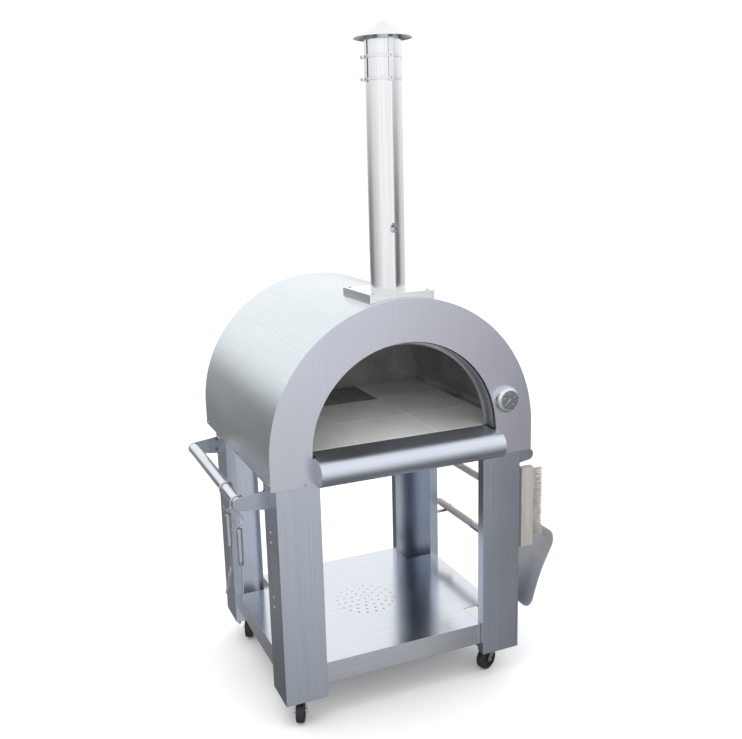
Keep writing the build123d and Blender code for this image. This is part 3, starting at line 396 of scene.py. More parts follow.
@dataclass(frozen=True)
class PlatedSteel:
    """Bright plated or polished steel.

    The eye gets sharp reflections, broken by fingerprints and pin-head pits.
    """

    name: str
    colour: str = "#d6d8da"
    roughness: float = 0.1
    pit_mm: float = 3.0
    pit_depth_mm: float = 0.01
    print_shade: float = 0.82

    def material(self) -> bpy.types.Material:
        """Build the material.

        Returns:
            The finished material.
        """
        material, tree, shader, where = new_material(self.name)
        prints = noise(tree, where, 25, 6.0, 0.7)
        rough = spread(tree, prints, 0.35, 0.7, self.roughness, self.roughness + 0.16)
        dull = tuple(c * self.print_shade for c in linear(self.colour)[:3]) + (1.0,)
        colour = tint(tree, prints, linear(self.colour), dull)
        pits = bump(tree, noise(tree, where, self.pit_mm, 3.0), self.pit_depth_mm)
        feed(tree, shader, {"Base Color": colour, "Roughness": rough, "Normal": pits},
             {"Metallic": 1.0})
        return material


@dataclass(frozen=True)
class FiredSteel:
    """Stainless sheet dulled by fire.

    The eye gets a straw-grey metal with soot that gathers in patches and only a
    broad, soft reflection of the mouth.
    """

    name: str
    colour: str = "#7f7f80"
    soot: str = "#3a3836"
    roughness: float = 0.36
    patch_mm: float = 190.0

    def material(self) -> bpy.types.Material:
        """Build the material.

        Returns:
            The finished material.
        """
        material, tree, shader, where = new_material(self.name)
        amount = spread(tree, noise(tree, where, self.patch_mm, 8.0, 0.62, 0.6), 0.42, 0.7)
        colour = tint(tree, amount, linear(self.colour), linear(self.soot))
        rough = spread(tree, amount, 0.0, 1.0, self.roughness, self.roughness + 0.25)
        grit = bump(tree, noise(tree, where, 2.5), 0.05, 0.6)
        feed(tree, shader, {"Base Color": colour, "Roughness": rough, "Normal": grit},
             {"Metallic": 0.8})
        return material


@dataclass(frozen=True)
class DryMineral:
    """Pressed, unglazed mineral surface: fire clay, joint sand, ceramic wool.

    The eye gets a matt body with coarse grog specks, a drift in tone from one
    place to the next and small pores.
    """

    name: str
    colour: str
    drift: str
    speck: str
    speck_mm: float = 3.0
    drift_mm: float = 140.0
    pore_depth_mm: float = 0.25
    roughness: float = 0.85

    def material(self) -> bpy.types.Material:
        """Build the material.

        Returns:
            The finished material.
        """
        material, tree, shader, where = new_material(self.name)
        drift = noise(tree, where, self.drift_mm, 6.0, 0.6)
        grains = noise(tree, where, self.speck_mm, 4.0, 0.7)
        specks = add_node(tree, "ShaderNodeTexVoronoi", {"Scale": 1000 / self.speck_mm},
                          {"Vector": where})
        body = tint(tree, spread(tree, drift, 0.32, 0.68), linear(self.colour),
                    linear(self.drift))
        colour = tint(tree, spread(tree, grains, 0.62, 0.74, 0.0, 0.7), body,
                      linear(self.speck))
        height = maths(tree, "ADD", specks.outputs["Distance"], grains)
        pores = bump(tree, height, self.pore_depth_mm, 0.8)
        feed(tree, shader, {"Base Color": colour, "Normal": pores},
             {"Roughness": self.roughness})
        return material


@dataclass(frozen=True)
class CastIron:
    """Sand-cast iron, seasoned by use.

    The eye gets a grey pebbled skin, stained in places, with a dull sheen.
    """

    name: str
    colour: str = "#7b7b7c"
    rust: str = "#6b655f"

    def material(self) -> bpy.types.Material:
        """Build the material.

        Returns:
            The finished material.
        """
        material, tree, shader, where = new_material(self.name)
        stain = noise(tree, where, 45, 5.0)
        colour = tint(tree, stain, linear(self.colour), linear(self.rust))
        skin = bump(tree, noise(tree, where, 3.5, 5.0, 0.7), 0.3, 0.8)
        feed(tree, shader, {"Base Color": colour, "Normal": skin},
             {"Roughness": 0.58, "Metallic": 0.35})
        return material


@dataclass(frozen=True)
class Beech:
    """Planed beech, left without varnish.

    The eye gets pale straight grain along the stick, short darker flecks and a
    matt surface.
    """

    name: str
    grain: Grain
    colour: str = "#d8cbb8"
    late_wood: str = "#b9a88f"
    fleck: str = "#857a6c"
    ring_mm: float = 3.4
    ring_length_mm: float = 160.0
    fleck_mm: float = 0.9
    fleck_length_mm: float = 9.0

    def material(self) -> bpy.types.Material:
        """Build the material.

        Returns:
            The finished material.
        """
        material, tree, shader, where = new_material(self.name)
        rings = noise(tree, stretched(tree, where, self.grain, self.ring_mm,
                                      self.ring_length_mm), UNSCALED_MM, 5.0, 0.55, 0.5)
        flecks = noise(tree, stretched(tree, where, self.grain, self.fleck_mm,
                                       self.fleck_length_mm), UNSCALED_MM)
        wood = tint(tree, spread(tree, rings, 0.35, 0.68), linear(self.colour),
                    linear(self.late_wood))
        colour = tint(tree, spread(tree, flecks, 0.62, 0.7, 0.0, 0.35), wood,
                      linear(self.fleck))
        feed(tree, shader, {"Base Color": colour, "Normal": bump(tree, rings, 0.12, 0.5)},
             {"Roughness": 0.62})
        return material


@dataclass(frozen=True)
class Moulded:
    """Moulded rubber, enamel, paint or fibre: one body colour with a little life.

    The eye gets a fine even texture, dust that lightens it in patches and the
    sheen that its roughness gives.
    """

    name: str
    colour: str
    dust: str
    roughness: float = 0.6
    grain_mm: float = 1.6
    grain_depth_mm: float = 0.05
    dust_share: float = 0.35

    def material(self) -> bpy.types.Material:
        """Build the material.

        Returns:
            The finished material.
        """
        material, tree, shader, where = new_material(self.name)
        amount = spread(tree, noise(tree, where, 22, 6.0, 0.65), 0.4, 0.75, 0.0,
                        self.dust_share)
        colour = tint(tree, amount, linear(self.colour), linear(self.dust))
        rough = spread(tree, amount, 0.0, 1.0, self.roughness, min(1.0, self.roughness + 0.3))
        skin = bump(tree, noise(tree, where, self.grain_mm, 3.0), self.grain_depth_mm, 0.7)
        feed(tree, shader, {"Base Color": colour, "Roughness": rough, "Normal": skin})
        return material


@dataclass(frozen=True)
class GaugeGlass:
    """Flat soda-lime glass over the thermometer's dial.

    The eye gets a clear pane with one crisp reflection and a trace of grease.
    """

    name: str = "gauge_glass"

    def material(self) -> bpy.types.Material:
        """Build the material.

        Returns:
            The finished material.
        """
        material, tree, shader, where = new_material(self.name)
        grease = spread(tree, noise(tree, where, 14, 4.0), 0.5, 0.8, 0.0, 0.12)
        feed(tree, shader, {"Roughness": grease},
             {"Base Color": linear("#f4f8f8"), "Transmission Weight": 1.0, "IOR": 1.5})
        return material


# ---------------------------------------------------------------- sub-assemblies
class Finish(Protocol):
    """What every finish offers."""

    @property
    def name(self) -> str:
        """The finish's name."""

    def material(self) -> bpy.types.Material:
        """Build the material."""


@dataclass
class Assembly:
    """A group of CAD nodes and the pieces added to it."""

    nodes: dict[str, bpy.types.Object]
    zero: Datum

    def dress_all(self, finish: Finish, *names: str) -> bpy.types.Material:
        """Give several CAD nodes one finish.

        Args:
            finish: the finish to build.
            *names: CAD node names.

        Returns:
            The material that they share.
        """
        material = finish.material()
        for name in names:
            dress(self.nodes[name], material)
            LOG.info("%s: %s", name, finish.name)
        return material


@dataclass
class OvenBody(Assembly):
    """Arched stainless casing with its face plate and rear panel."""

    def build(self) -> None:
        """Dress the casing."""
        self.dress_all(BrushedSteel("brushed_shell", Grain.ALONG_Y, "#ccd4d8", "#c1c8cc",
                                    roughness=0.25, wave_depth_mm=1.2, wave_mm=420), "outer_shell")
        self.dress_all(BrushedSteel("brushed_face", Grain.ALONG_Z, "#d2d4df", "#c8cad6",
                                    roughness=0.34, wave_depth_mm=0.5), "face_plate")
        self.dress_all(BrushedSteel("brushed_rear", Grain.ALONG_X, roughness=0.3),
                       "rear_panel")
        self.dress_all(BrushedSteel("mill_pan", Grain.ALONG_X, "#a4a6a9", "#8c8e92",
                                    roughness=0.42), "base_pan")
        self.dress_all(DryMineral("ceramic_wool", "#e2ded4", "#cfc9bd", "#b8b2a6",
                                  speck_mm=5, pore_depth_mm=1.0), "insulation")


@dataclass
class CookingChamber(Assembly):
    """Throat, vault, tiled floor and charcoal grate."""

    deck: float = 890.0
    tile_w: float = 268.0
    tile_d: float = 229.0
    joint: float = 2.0
    front: float = 62.0
    sand_drop: float = 0.4
    sand_deep: float = 3.0
    sand_gap: float = 0.1
    ribs: int = 15
    rib_wave: float = 5.0
    rib_wave_length: float = 56.0
    rib_steps: int = 64
    rib_thick: float = 5.5
    rib_high: float = 12.5

    def build(self) -> None:
        """Dress the chamber and add the joint sand and the grate's ribs."""
        self.dress_all(BrushedSteel("throat_sheet", Grain.ROUND_Y, "#c0c1c4", "#adaeb2",
                                    roughness=0.34), "mouth_throat")
        self.dress_all(FiredSteel("fired_vault", "#b4b4b4", "#8b8986", 0.3, 320), "inner_liner")
        self.dress_all(FiredSteel("fired_back_wall", "#bcbcbc", "#918f8d", 0.26, 260),
                       "inner_back_wall")
        self.dress_all(FiredSteel("fired_rails", "#c2c3c4", "#8f8d8a", 0.3), "floor_rails")
        self.dress_all(DryMineral("fire_clay_tile", "#c3c3c2", "#b4b4b3", "#979693"),
                       "floor_tiles")
        sand = DryMineral("joint_sand", "#efede8", "#e2dfd9", "#c4c0b8", speck_mm=1.5).material()
        piece = self.joint_sand()
        dress(piece, sand)
        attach(piece, "oven")
        self.grate()

    def joint_sand(self) -> bpy.types.Object:
        """Fill the joints between the tiles a little below their tops.

        Returns:
            The strips of sand as one mesh.
        """
        top = self.deck - self.sand_drop
        pitch_x, pitch_y = self.tile_w + self.joint, self.tile_d + self.joint
        x_end = 1.5 * self.tile_w + self.joint
        y_end = self.front + 3 * self.tile_d + 2 * self.joint
        strips = [(-x_end, x_end, self.front + k * pitch_y - self.joint, self.front + k * pitch_y)
                  for k in (1, 2)]
        for side in (-1, 1):
            x = side * pitch_x / 2
            strips += [(x - self.joint / 2, x + self.joint / 2, self.front + k * pitch_y,
                        self.front + k * pitch_y + self.tile_d) for k in (0, 1, 2)]
        verts, faces, gap = [], [], self.sand_gap
        for x0, x1, y0, y1 in strips:
            start = len(verts)
            verts += [self.zero.at(x, min(y, y_end), z) for z in (top - self.sand_deep, top)
                      for x, y in ((x0 + gap, y0 + gap), (x1 - gap, y0 + gap),
                                   (x1 - gap, y1 - gap), (x0 + gap, y1 - gap))]
            quads = ((0, 1, 2, 3), (4, 5, 6, 7), (0, 1, 5, 4), (1, 2, 6, 5), (2, 3, 7, 6),
                     (3, 0, 4, 7))
            faces += [tuple(start + i for i in quad) for quad in quads]
        return mesh_object("joint_sand", verts, faces)

    def grate(self) -> None:
        """Replace the CAD grate with a cast tray and wavy ribs."""
        iron = CastIron("seasoned_cast_iron").material()
        low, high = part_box("charcoal_grate")
        size = high - low
        middle = (low + high) / 2
        end_gap, side_gap, sunk = 0.014, 0.034, 0.0064
        ribs = grown_object("grate_ribs", self.wavy_ribs(), {
            "Length": size.x - end_gap, "Depth": size.y - side_gap, "Ribs": self.ribs,
            "Wave": self.rib_wave * MM, "Material": iron},
            Matrix.Translation((middle.x, middle.y, high.z - sunk)))
        tray = self.tray(low, high)
        dress(tray, iron)
        for piece in (tray, ribs):
            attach(piece, "grate")
        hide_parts("charcoal_grate")
        LOG.info("charcoal_grate: %d wavy ribs in a cast tray", self.ribs)

    def wavy_ribs(self) -> bpy.types.NodeTree:
        """Lay out wavy bars of one section, side by side.

        Returns:
            The Geometry Nodes tree.
        """
        tree, given = new_growth("wavy_ribs", [
            ("Length", "NodeSocketFloat", 0.25), ("Depth", "NodeSocketFloat", 0.2),
            ("Ribs", "NodeSocketInt", 15), ("Wave", "NodeSocketFloat", 0.005),
            ("Material", "NodeSocketMaterial", None)])
        length, depth = given.outputs["Length"], given.outputs["Depth"]
        begin = vector(tree, maths(tree, "MULTIPLY", length, -0.5))
        step = vector(tree, maths(tree, "DIVIDE", length, self.rib_steps))
        line = add_node(tree, "GeometryNodeMeshLine", {"Count": self.rib_steps + 1},
                        {"Start Location": begin, "Offset": step})
        place = add_node(tree, "GeometryNodeInputPosition")
        axes = add_node(tree, "ShaderNodeSeparateXYZ", links={0: place.outputs[0]})
        turn = maths(tree, "MULTIPLY", axes.outputs[0], math.tau / (self.rib_wave_length * MM))
        swing = maths(tree, "MULTIPLY", maths(tree, "SINE", turn), given.outputs["Wave"])
        bent = add_node(tree, "GeometryNodeSetPosition",
                        links={"Geometry": line.outputs[0], "Offset": vector(tree, 0, swing)})
        path = add_node(tree, "GeometryNodeMeshToCurve", links={0: bent.outputs[0]})
        section = add_node(tree, "GeometryNodeCurvePrimitiveQuadrilateral",
                           {"Width": self.rib_thick * MM, "Height": self.rib_high * MM})
        rib = add_node(tree, "GeometryNodeCurveToMesh", {"Fill Caps": True},
                       {"Curve": path.outputs[0], "Profile Curve": section.outputs[0]})
        first = vector(tree, 0, maths(tree, "MULTIPLY", depth, -0.5))
        gaps = maths(tree, "SUBTRACT", given.outputs["Ribs"], 1)
        move = vector(tree, 0, maths(tree, "DIVIDE", depth, gaps))
        spots = add_node(tree, "GeometryNodeMeshLine",
                         links={"Count": given.outputs["Ribs"], "Start Location": first,
                                "Offset": move})
        rows = add_node(tree, "GeometryNodeInstanceOnPoints",
                        links={"Points": spots.outputs[0], "Instance": rib.outputs[0]})
        close_growth(tree, rows.outputs[0], given.outputs["Material"])
        return tree

    def tray(self, low: Vector, high: Vector) -> bpy.types.Object:
        """Shallow cast tray with a rim 8 mm wide.

        Args:
            low: the CAD grate's lowest corner.
            high: its highest corner.

        Returns:
            The tray.
        """
        rim, floor_z, rim_z = 0.008, low.z + 0.0055, high.z - 0.0005
        levels = [(0.0015, low.z), (0.0, low.z + 0.0015), (0.0, rim_z - 0.0012), (0.0012, rim_z),
                  (rim - 0.001, rim_z), (rim, rim_z - 0.001), (rim + 0.0015, floor_z)]
        verts = []
        for inset, z in levels:
            x0, x1, y0, y1 = low.x + inset, high.x - inset, low.y + inset, high.y - inset
            verts += [(x0, y0, z), (x1, y0, z), (x1, y1, z), (x0, y1, z)]
        faces = [(0, 1, 2, 3), tuple(4 * (len(levels) - 1) + i for i in range(4))]
        for ring in range(len(levels) - 1):
            for i in range(4):
                a, b = 4 * ring + i, 4 * ring + (i + 1) % 4
                faces.append((a, b, b + 4, a + 4))
        return mesh_object("grate_tray", verts, faces)


@dataclass
class Landing(Assembly):
    """Bullnose landing shelf in front of the mouth."""

    def build(self) -> None:
        """Dress the landing shelf."""
        self.dress_all(BrushedSteel("brushed_landing", Grain.ALONG_X, "#cfd6df", "#c0c7d1",
                                    roughness=0.42, line_depth_mm=0.006, wave_depth_mm=0.3),
                       "landing_shelf")
        self.dress_all(BrushedSteel("brushed_landing_ends", Grain.ALONG_Y, "#c6c9d1", "#b6b9c1",
                                    roughness=0.26), "landing_end_caps")


@dataclass
class Thermometer(Assembly):
    """Dial thermometer on the face plate's right side."""

    x: float = 344.0
    z: float = 984.0
    face_r: float = 30.0
    sweep: float = 270.0
    tick_w: float = 0.7
    numerals: tuple[int, ...] = (100, 200, 300, 400, 500)
    numeral_high: float = 5.6
    ink_thick: float = 0.08
    ink_lift: float = 0.12

    def build(self) -> None:
        """Dress the gauge and print its scale."""
        self.dress_all(PlatedSteel("polished_bezel", "#e4e5e7", 0.22), "thermometer_bezel")
        self.dress_all(Moulded("dial_enamel", "#5f6268", "#74777c", 0.45, dust_share=0.5),
                       "thermometer_dial")
        self.dress_all(Moulded("needle_paint", "#e4e4e2", "#cfcfcd", 0.4), "thermometer_needle")
        self.dress_all(GaugeGlass(), "thermometer_lens")
        self.dress_all(PlatedSteel("probe_steel", "#b8babd", 0.25), "thermometer_probe")
        ink = Moulded("printing_ink", "#e9eaeb", "#cfd0d1", 0.6).material()
        low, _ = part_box("thermometer_dial")
        self.scale(low.y, ink)
        self.numbers(low.y, ink)

    def facing(self, x: float, front: float, z: float) -> Matrix:
        """Place flat work upright, just in front of the dial.

        Args:
            x: millimetres from the oven's middle.
            front: Y of the dial's face in metres.
            z: millimetres from the ground.

        Returns:
            The placing matrix.
        """
        spot = self.zero.at(x, 0, z)
        return Matrix.Translation((spot.x, front - self.ink_lift * MM, spot.z)) \
            @ Matrix.Rotation(math.radians(90), 4, "X")

    def scale(self, front: float, ink: bpy.types.Material) -> None:
        """Print the ticks, long ones every fifth.

        Args:
            front: Y of the dial's face in metres.
            ink: the printing ink.
        """
        tree, given = new_growth("dial_ticks", [
            ("Radius", "NodeSocketFloat", 0.025), ("Count", "NodeSocketInt", 41),
            ("Length", "NodeSocketFloat", 0.003), ("Width", "NodeSocketFloat", 0.0006),
            ("Sweep", "NodeSocketFloat", math.radians(270)),
            ("Material", "NodeSocketMaterial", None)])
        arc = add_node(tree, "GeometryNodeCurveArc",
                       {"Resolution": 200, "Start Angle": math.radians(-45)},
                       {"Radius": given.outputs["Radius"], "Sweep Angle": given.outputs["Sweep"]},
                       mode="RADIUS")
        spots = add_node(tree, "GeometryNodeCurveToPoints",
                         links={"Curve": arc.outputs[0], "Count": given.outputs["Count"]},
                         mode="COUNT")
        sizes = vector(tree, given.outputs["Width"], given.outputs["Length"], 0.0002)
        tick = add_node(tree, "GeometryNodeMeshCube", links={"Size": sizes})
        place = add_node(tree, "GeometryNodeInputPosition")
        outward = add_node(tree, "FunctionNodeAlignEulerToVector",
                           links={"Vector": place.outputs[0]}, axis="Y", pivot_axis="Z")
        ring = add_node(tree, "GeometryNodeInstanceOnPoints",
                        links={"Points": spots.outputs["Points"], "Instance": tick.outputs[0],
                               "Rotation": outward.outputs[0]})
        close_growth(tree, ring.outputs[0], given.outputs["Material"])
        upright = self.facing(self.x, front, self.z)
        rings = [("dial_ticks_fine", 41, 1.8, self.tick_w * 0.7, self.face_r - 4.4),
                 ("dial_ticks_coarse", 9, 3.6, self.tick_w * 1.3, self.face_r - 5.3)]
        for name, count, length, width, radius in rings:
            piece = grown_object(name, tree, {
                "Radius": radius * MM, "Count": count, "Length": length * MM,
                "Width": width * MM, "Sweep": math.radians(self.sweep), "Material": ink}, upright)
            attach(piece, "oven")
        LOG.info("thermometer_dial: scale printed")

    def numbers(self, front: float, ink: bpy.types.Material) -> None:
        """Print the round hundreds inside the ticks.

        Args:
            front: Y of the dial's face in metres.
            ink: the printing ink.
        """
        radius = self.face_r - 11.0
        for i, number in enumerate(self.numerals):
            angle = math.radians(225 - self.sweep * i / (len(self.numerals) - 1))
            text = bpy.data.curves.new(f"dial_number_{number}", "FONT")
            text.body = str(number)
            text.size = self.numeral_high * MM
            text.extrude = self.ink_thick * MM
            text.align_x, text.align_y = "CENTER", "CENTER"
            carrier = bpy.data.objects.new(text.name + "_text", text)
            bpy.context.scene.collection.objects.link(carrier)
            evaluated = carrier.evaluated_get(bpy.context.evaluated_depsgraph_get())
            mesh = bpy.data.meshes.new_from_object(evaluated)
            bpy.data.objects.remove(carrier)
            mesh.transform(self.facing(self.x + radius * math.cos(angle), front,
                                       self.z + radius * math.sin(angle)))
            piece = bpy.data.objects.new(f"dial_number_{number}", mesh)
            bpy.context.scene.collection.objects.link(piece)
            dress(piece, ink)
            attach(piece, "oven")


@dataclass
class Chimney(Assembly):
    """Saddle, flue pipe, damper and rain cap."""

    def build(self) -> None:
        """Dress the chimney."""
        self.dress_all(BrushedSteel("brushed_saddle", Grain.ALONG_X, "#ebecef", "#dfe0e3",
                                    roughness=0.3), "chimney_base")
        self.dress_all(BrushedSteel("brushed_flue", Grain.ALONG_Z, "#e6e7e9", "#d3d5d7",
                                    roughness=0.22, line_mm=3.2, line_depth_mm=0.02,
                                    line_length_mm=700, wave_depth_mm=1.0), "flue_pipe")
        self.dress_all(BrushedSteel("brushed_cap", Grain.LEVEL, "#dcdee1", "#cdcfd2",
                                    roughness=0.24), "rain_cap", "cap_straps", "cap_bands")
        self.dress_all(BrushedSteel("damper_sheet", Grain.ALONG_X, "#a9abae", "#8c8e91",
                                    roughness=0.34), "damper_disc", "damper_rod")


@dataclass
class Cart(Assembly):
    """Legs, rails, perforated shelf and side handles."""

    insert_pairs: tuple[tuple[str, float, float], ...] = (
        ("leg_inserts_low", 107.0, 391.0), ("leg_inserts_high", 107.0, 605.0))
    insert_r: float = 6.2
    insert_bore_r: float = 3.4
    insert_flange: float = 1.2
    insert_proud: float = 0.4
    pair_gap: float = 32.0

    def build(self) -> None:
        """Dress the cart."""
        self.dress_all(BrushedSteel("brushed_leg", Grain.ALONG_Z, "#c6cdd9", "#b8bfcb",
                                    roughness=0.26, wave_depth_mm=0.6, wave_mm=480),
                       "leg_front_left", "leg_front_right", "leg_rear_left", "leg_rear_right")
        self.dress_all(BrushedSteel("brushed_tray", Grain.ALONG_X, "#cfd3da", "#c2c6cd",
                                    roughness=0.17, wave_depth_mm=1.0, wave_mm=380), "lower_shelf")
        self.dress_all(BrushedSteel("mill_rail", Grain.ALONG_X, "#aeb1b6", "#94979c",
                                    roughness=0.34), "cart_rails", "foot_plates")
        self.dress_all(BrushedSteel("brushed_bracket", Grain.ALONG_X, "#b6bcc6", "#a6acb6",
                                    roughness=0.3), "handle_brackets")
        self.dress_all(BrushedSteel("brushed_tube", Grain.ALONG_Y, "#d0d3da", "#c0c3ca",
                                    roughness=0.18, wave_depth_mm=0.2), "left_handle_bar",
                       "right_handle_bar")
        self.dress_all(PlatedSteel("machine_screws", "#b9bbbf", 0.22), "screws_and_bolts")
        self.dress_all(BrushedSteel("bent_strap", Grain.ALONG_Z, "#b4b7bc", "#9a9da2",
                                    roughness=0.3), "tool_holders")
        self.inserts()

    def inserts(self) -> None:
        """Press bright rivet nuts into the spare holes of the left front leg."""
        zinc = PlatedSteel("bright_zinc_insert", "#e6e8ea", 0.3).material()
        tree, given = new_growth("rivet_nuts", [
            ("Radius", "NodeSocketFloat", 0.0058), ("Bore", "NodeSocketFloat", 0.0024),
            ("Flange", "NodeSocketFloat", 0.0012), ("Pair Gap", "NodeSocketFloat", 0.032),
            ("Material", "NodeSocketMaterial", None)])
        bore = add_node(tree, "GeometryNodeCurvePrimitiveCircle", {"Resolution": 28},
                        {"Radius": given.outputs["Bore"]})
        rim = maths(tree, "SUBTRACT", given.outputs["Radius"], given.outputs["Bore"])
        profile = add_node(tree, "GeometryNodeCurvePrimitiveQuadrilateral",
                           links={"Width": rim, "Height": given.outputs["Flange"]})
        ring = add_node(tree, "GeometryNodeCurveToMesh",
                        links={"Curve": bore.outputs[0], "Profile Curve": profile.outputs[0]})
        spots = add_node(tree, "GeometryNodeMeshLine", {"Count": 2},
                         {"Offset": vector(tree, given.outputs["Pair Gap"])})
        pair = add_node(tree, "GeometryNodeInstanceOnPoints",
                        links={"Points": spots.outputs[0], "Instance": ring.outputs[0]})
        close_growth(tree, pair.outputs[0], given.outputs["Material"])
        low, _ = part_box("leg_front_left")
        for name, y, z in self.insert_pairs:
            place = self.zero.at(0, y, z)
            piece = grown_object(name, tree, {
                "Radius": self.insert_r * MM, "Bore": self.insert_bore_r * MM,
                "Flange": self.insert_flange * MM, "Pair Gap": self.pair_gap * MM,
                "Material": zinc},
                Matrix.Translation((low.x - self.insert_proud * MM, place.y, place.z))
                @ Matrix.Rotation(math.radians(-90), 4, "Y"))
            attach(piece, "oven")
            LOG.info("%s: pressed in", name)


@dataclass
class Casters(Assembly):
    """Four swivel casters, two of them braked."""

    corners: tuple[str, ...] = ("front_left", "front_right", "rear_left", "rear_right")
    braked: tuple[str, ...] = ("front_left", "rear_left")

    def build(self) -> None:
        """Dress the casters."""
        self.dress_all(PlatedSteel("zinc_top_plate", "#aeb1b5", 0.28), "caster_top_plates")
        self.dress_all(PlatedSteel("zinc_fork", "#b9bcc0", 0.25),
                       *[f"caster_fork_{corner}" for corner in self.corners])
        self.dress_all(Moulded("wheel_rubber", "#141517", "#28282a", 0.55, grain_mm=1.2),
                       *[f"caster_wheel_{corner}" for corner in self.corners])
        self.dress_all(PlatedSteel("zinc_pedal", "#b4b7bb", 0.26),
                       *[f"brake_pedal_{corner}" for corner in self.braked])


@dataclass
class HangingTools(Assembly):
    """S-hooks, scraper and turner on the left handle bar."""

    def build(self) -> None:
        """Dress the hooks and tools."""
        self.dress_all(PlatedSteel("polished_hook", "#cfd2d6", 0.12), "s_hook_front",
                       "s_hook_rear")
        self.dress_all(PlatedSteel("polished_grip", "#c6c9ce", 0.16), "scraper_grip",
                       "turner_grip")
        self.dress_all(BrushedSteel("ground_tool", Grain.ALONG_Z, "#aeb0b5", "#94969b",
                                    roughness=0.28, line_mm=1.2, wave_depth_mm=0.1),
                       "scraper_bar", "turner_blade")


@dataclass
class BrushAndPeel(Assembly):
    """Oven brush and pizza peel on the right side."""

    rows: int = 23
    columns: int = 4
    bristle_d: float = 0.9        # real fibres are 0.5 mm, too fine to show
    tuft_r: float = 1.9
    tuft_inset: float = 7.5
    bristle_short: float = 1.0
    splay: float = 0.012

    def build(self) -> None:
        """Dress brush and peel and plant the bristles."""
        # Painted shade: the brush block's beech colours are greyed and darkened to stand for the
        # shade it sits in; the wood itself is pale beige.
        self.dress_all(Beech("beech_block_painted_shade", Grain.ALONG_Z, "#a5a29d", "#8d8a84"), "brush_block")
        self.dress_all(Beech("limed_beech_rod", Grain.ALONG_Y, "#b3b2b0", "#a3a29f"),
                       "brush_handle", "peel_handle")
        self.dress_all(BrushedSteel("rolled_blade", Grain.ALONG_Y, "#dcdde0", "#d0d1d5",
                                    roughness=0.55, wave_depth_mm=0.4), "peel_blade")
        self.dress_all(PlatedSteel("ferrule_steel", "#b8bbc0", 0.2), "peel_ferrule")
        self.bristles()

    def bristles(self) -> None:
        """Plant rows of splayed bristle tufts in place of the CAD blocks."""
        fibre = Moulded("palm_fibre", "#bdb9b3", "#9b9791", 0.75, grain_mm=0.8,
                        dust_share=0.8).material()
        low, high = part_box("brush_bristles")
        middle = (low + high) / 2
        sideways = Matrix.Rotation(math.radians(90), 4, "Y")
        piece = grown_object("fibre_bristles", self.tuft_field(), {
            "Rows": self.rows, "Columns": self.columns,
            "Height": high.z - low.z - self.tuft_inset * MM,
            "Width": high.y - low.y - self.tuft_inset * MM,
            "Length": high.x - low.x - self.bristle_short * MM,
            "Bristle": self.bristle_d * MM / 2, "Tuft Radius": self.tuft_r * MM,
            "Splay": self.splay, "Material": fibre},
            Matrix.Translation((low.x, middle.y, middle.z)) @ sideways)
        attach(piece, "brush")
        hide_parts("brush_bristles")
        LOG.info("brush_bristles: %d tufts", self.rows * self.columns)

    @staticmethod
    def tuft_field() -> bpy.types.NodeTree:
        """Stand tufts of tapering fibres on a grid, each turned and tilted at random.

        Returns:
            The Geometry Nodes tree.
        """
        tree, given = new_growth("bristle_field", [
            ("Rows", "NodeSocketInt", 23), ("Columns", "NodeSocketInt", 4),
            ("Height", "NodeSocketFloat", 0.24), ("Width", "NodeSocketFloat", 0.014),
            ("Length", "NodeSocketFloat", 0.036), ("Bristle", "NodeSocketFloat", 0.0004),
            ("Tuft Radius", "NodeSocketFloat", 0.0025), ("Splay", "NodeSocketFloat", 0.05),
            ("Material", "NodeSocketMaterial", None)])
        fibre_shape = add_node(tree, "GeometryNodeMeshCone",
                               {"Vertices": 4, "Radius Top": 0.00028},
                               {"Radius Bottom": given.outputs["Bristle"],
                                "Depth": given.outputs["Length"]})
        disc = add_node(tree, "GeometryNodeMeshCircle", {"Vertices": 9},
                        {"Radius": given.outputs["Tuft Radius"]}, fill_type="TRIANGLE_FAN")
        place = add_node(tree, "GeometryNodeInputPosition")
        lift = add_node(tree, "ShaderNodeVectorMath", {1: (0.0, 0.0, 0.036)},
                        {0: place.outputs[0]}, operation="ADD")
        aim = add_node(tree, "FunctionNodeAlignEulerToVector", links={"Vector": lift.outputs[0]},
                       axis="Z")
        tuft = add_node(tree, "GeometryNodeInstanceOnPoints",
                        links={"Points": disc.outputs[0], "Instance": fibre_shape.outputs[0],
                               "Rotation": aim.outputs[0]})
        grid = add_node(tree, "GeometryNodeMeshGrid",
                        links={"Size X": given.outputs["Height"], "Size Y": given.outputs["Width"],
                               "Vertices X": given.outputs["Rows"],
                               "Vertices Y": given.outputs["Columns"]})
        splay = given.outputs["Splay"]
        other_way = maths(tree, "MULTIPLY", splay, -1.0)
        turn = add_node(tree, "FunctionNodeRandomValue", {"Seed": 7},
                        {0: vector(tree, other_way, other_way, 0.0),
                         1: vector(tree, splay, splay, math.tau)}, data_type="FLOAT_VECTOR")
        planted = add_node(tree, "GeometryNodeInstanceOnPoints",
                           links={"Points": grid.outputs[0], "Instance": tuft.outputs[0],
                                  "Rotation": turn.outputs[0]})
        close_growth(tree, planted.outputs[0], given.outputs["Material"])
        return tree


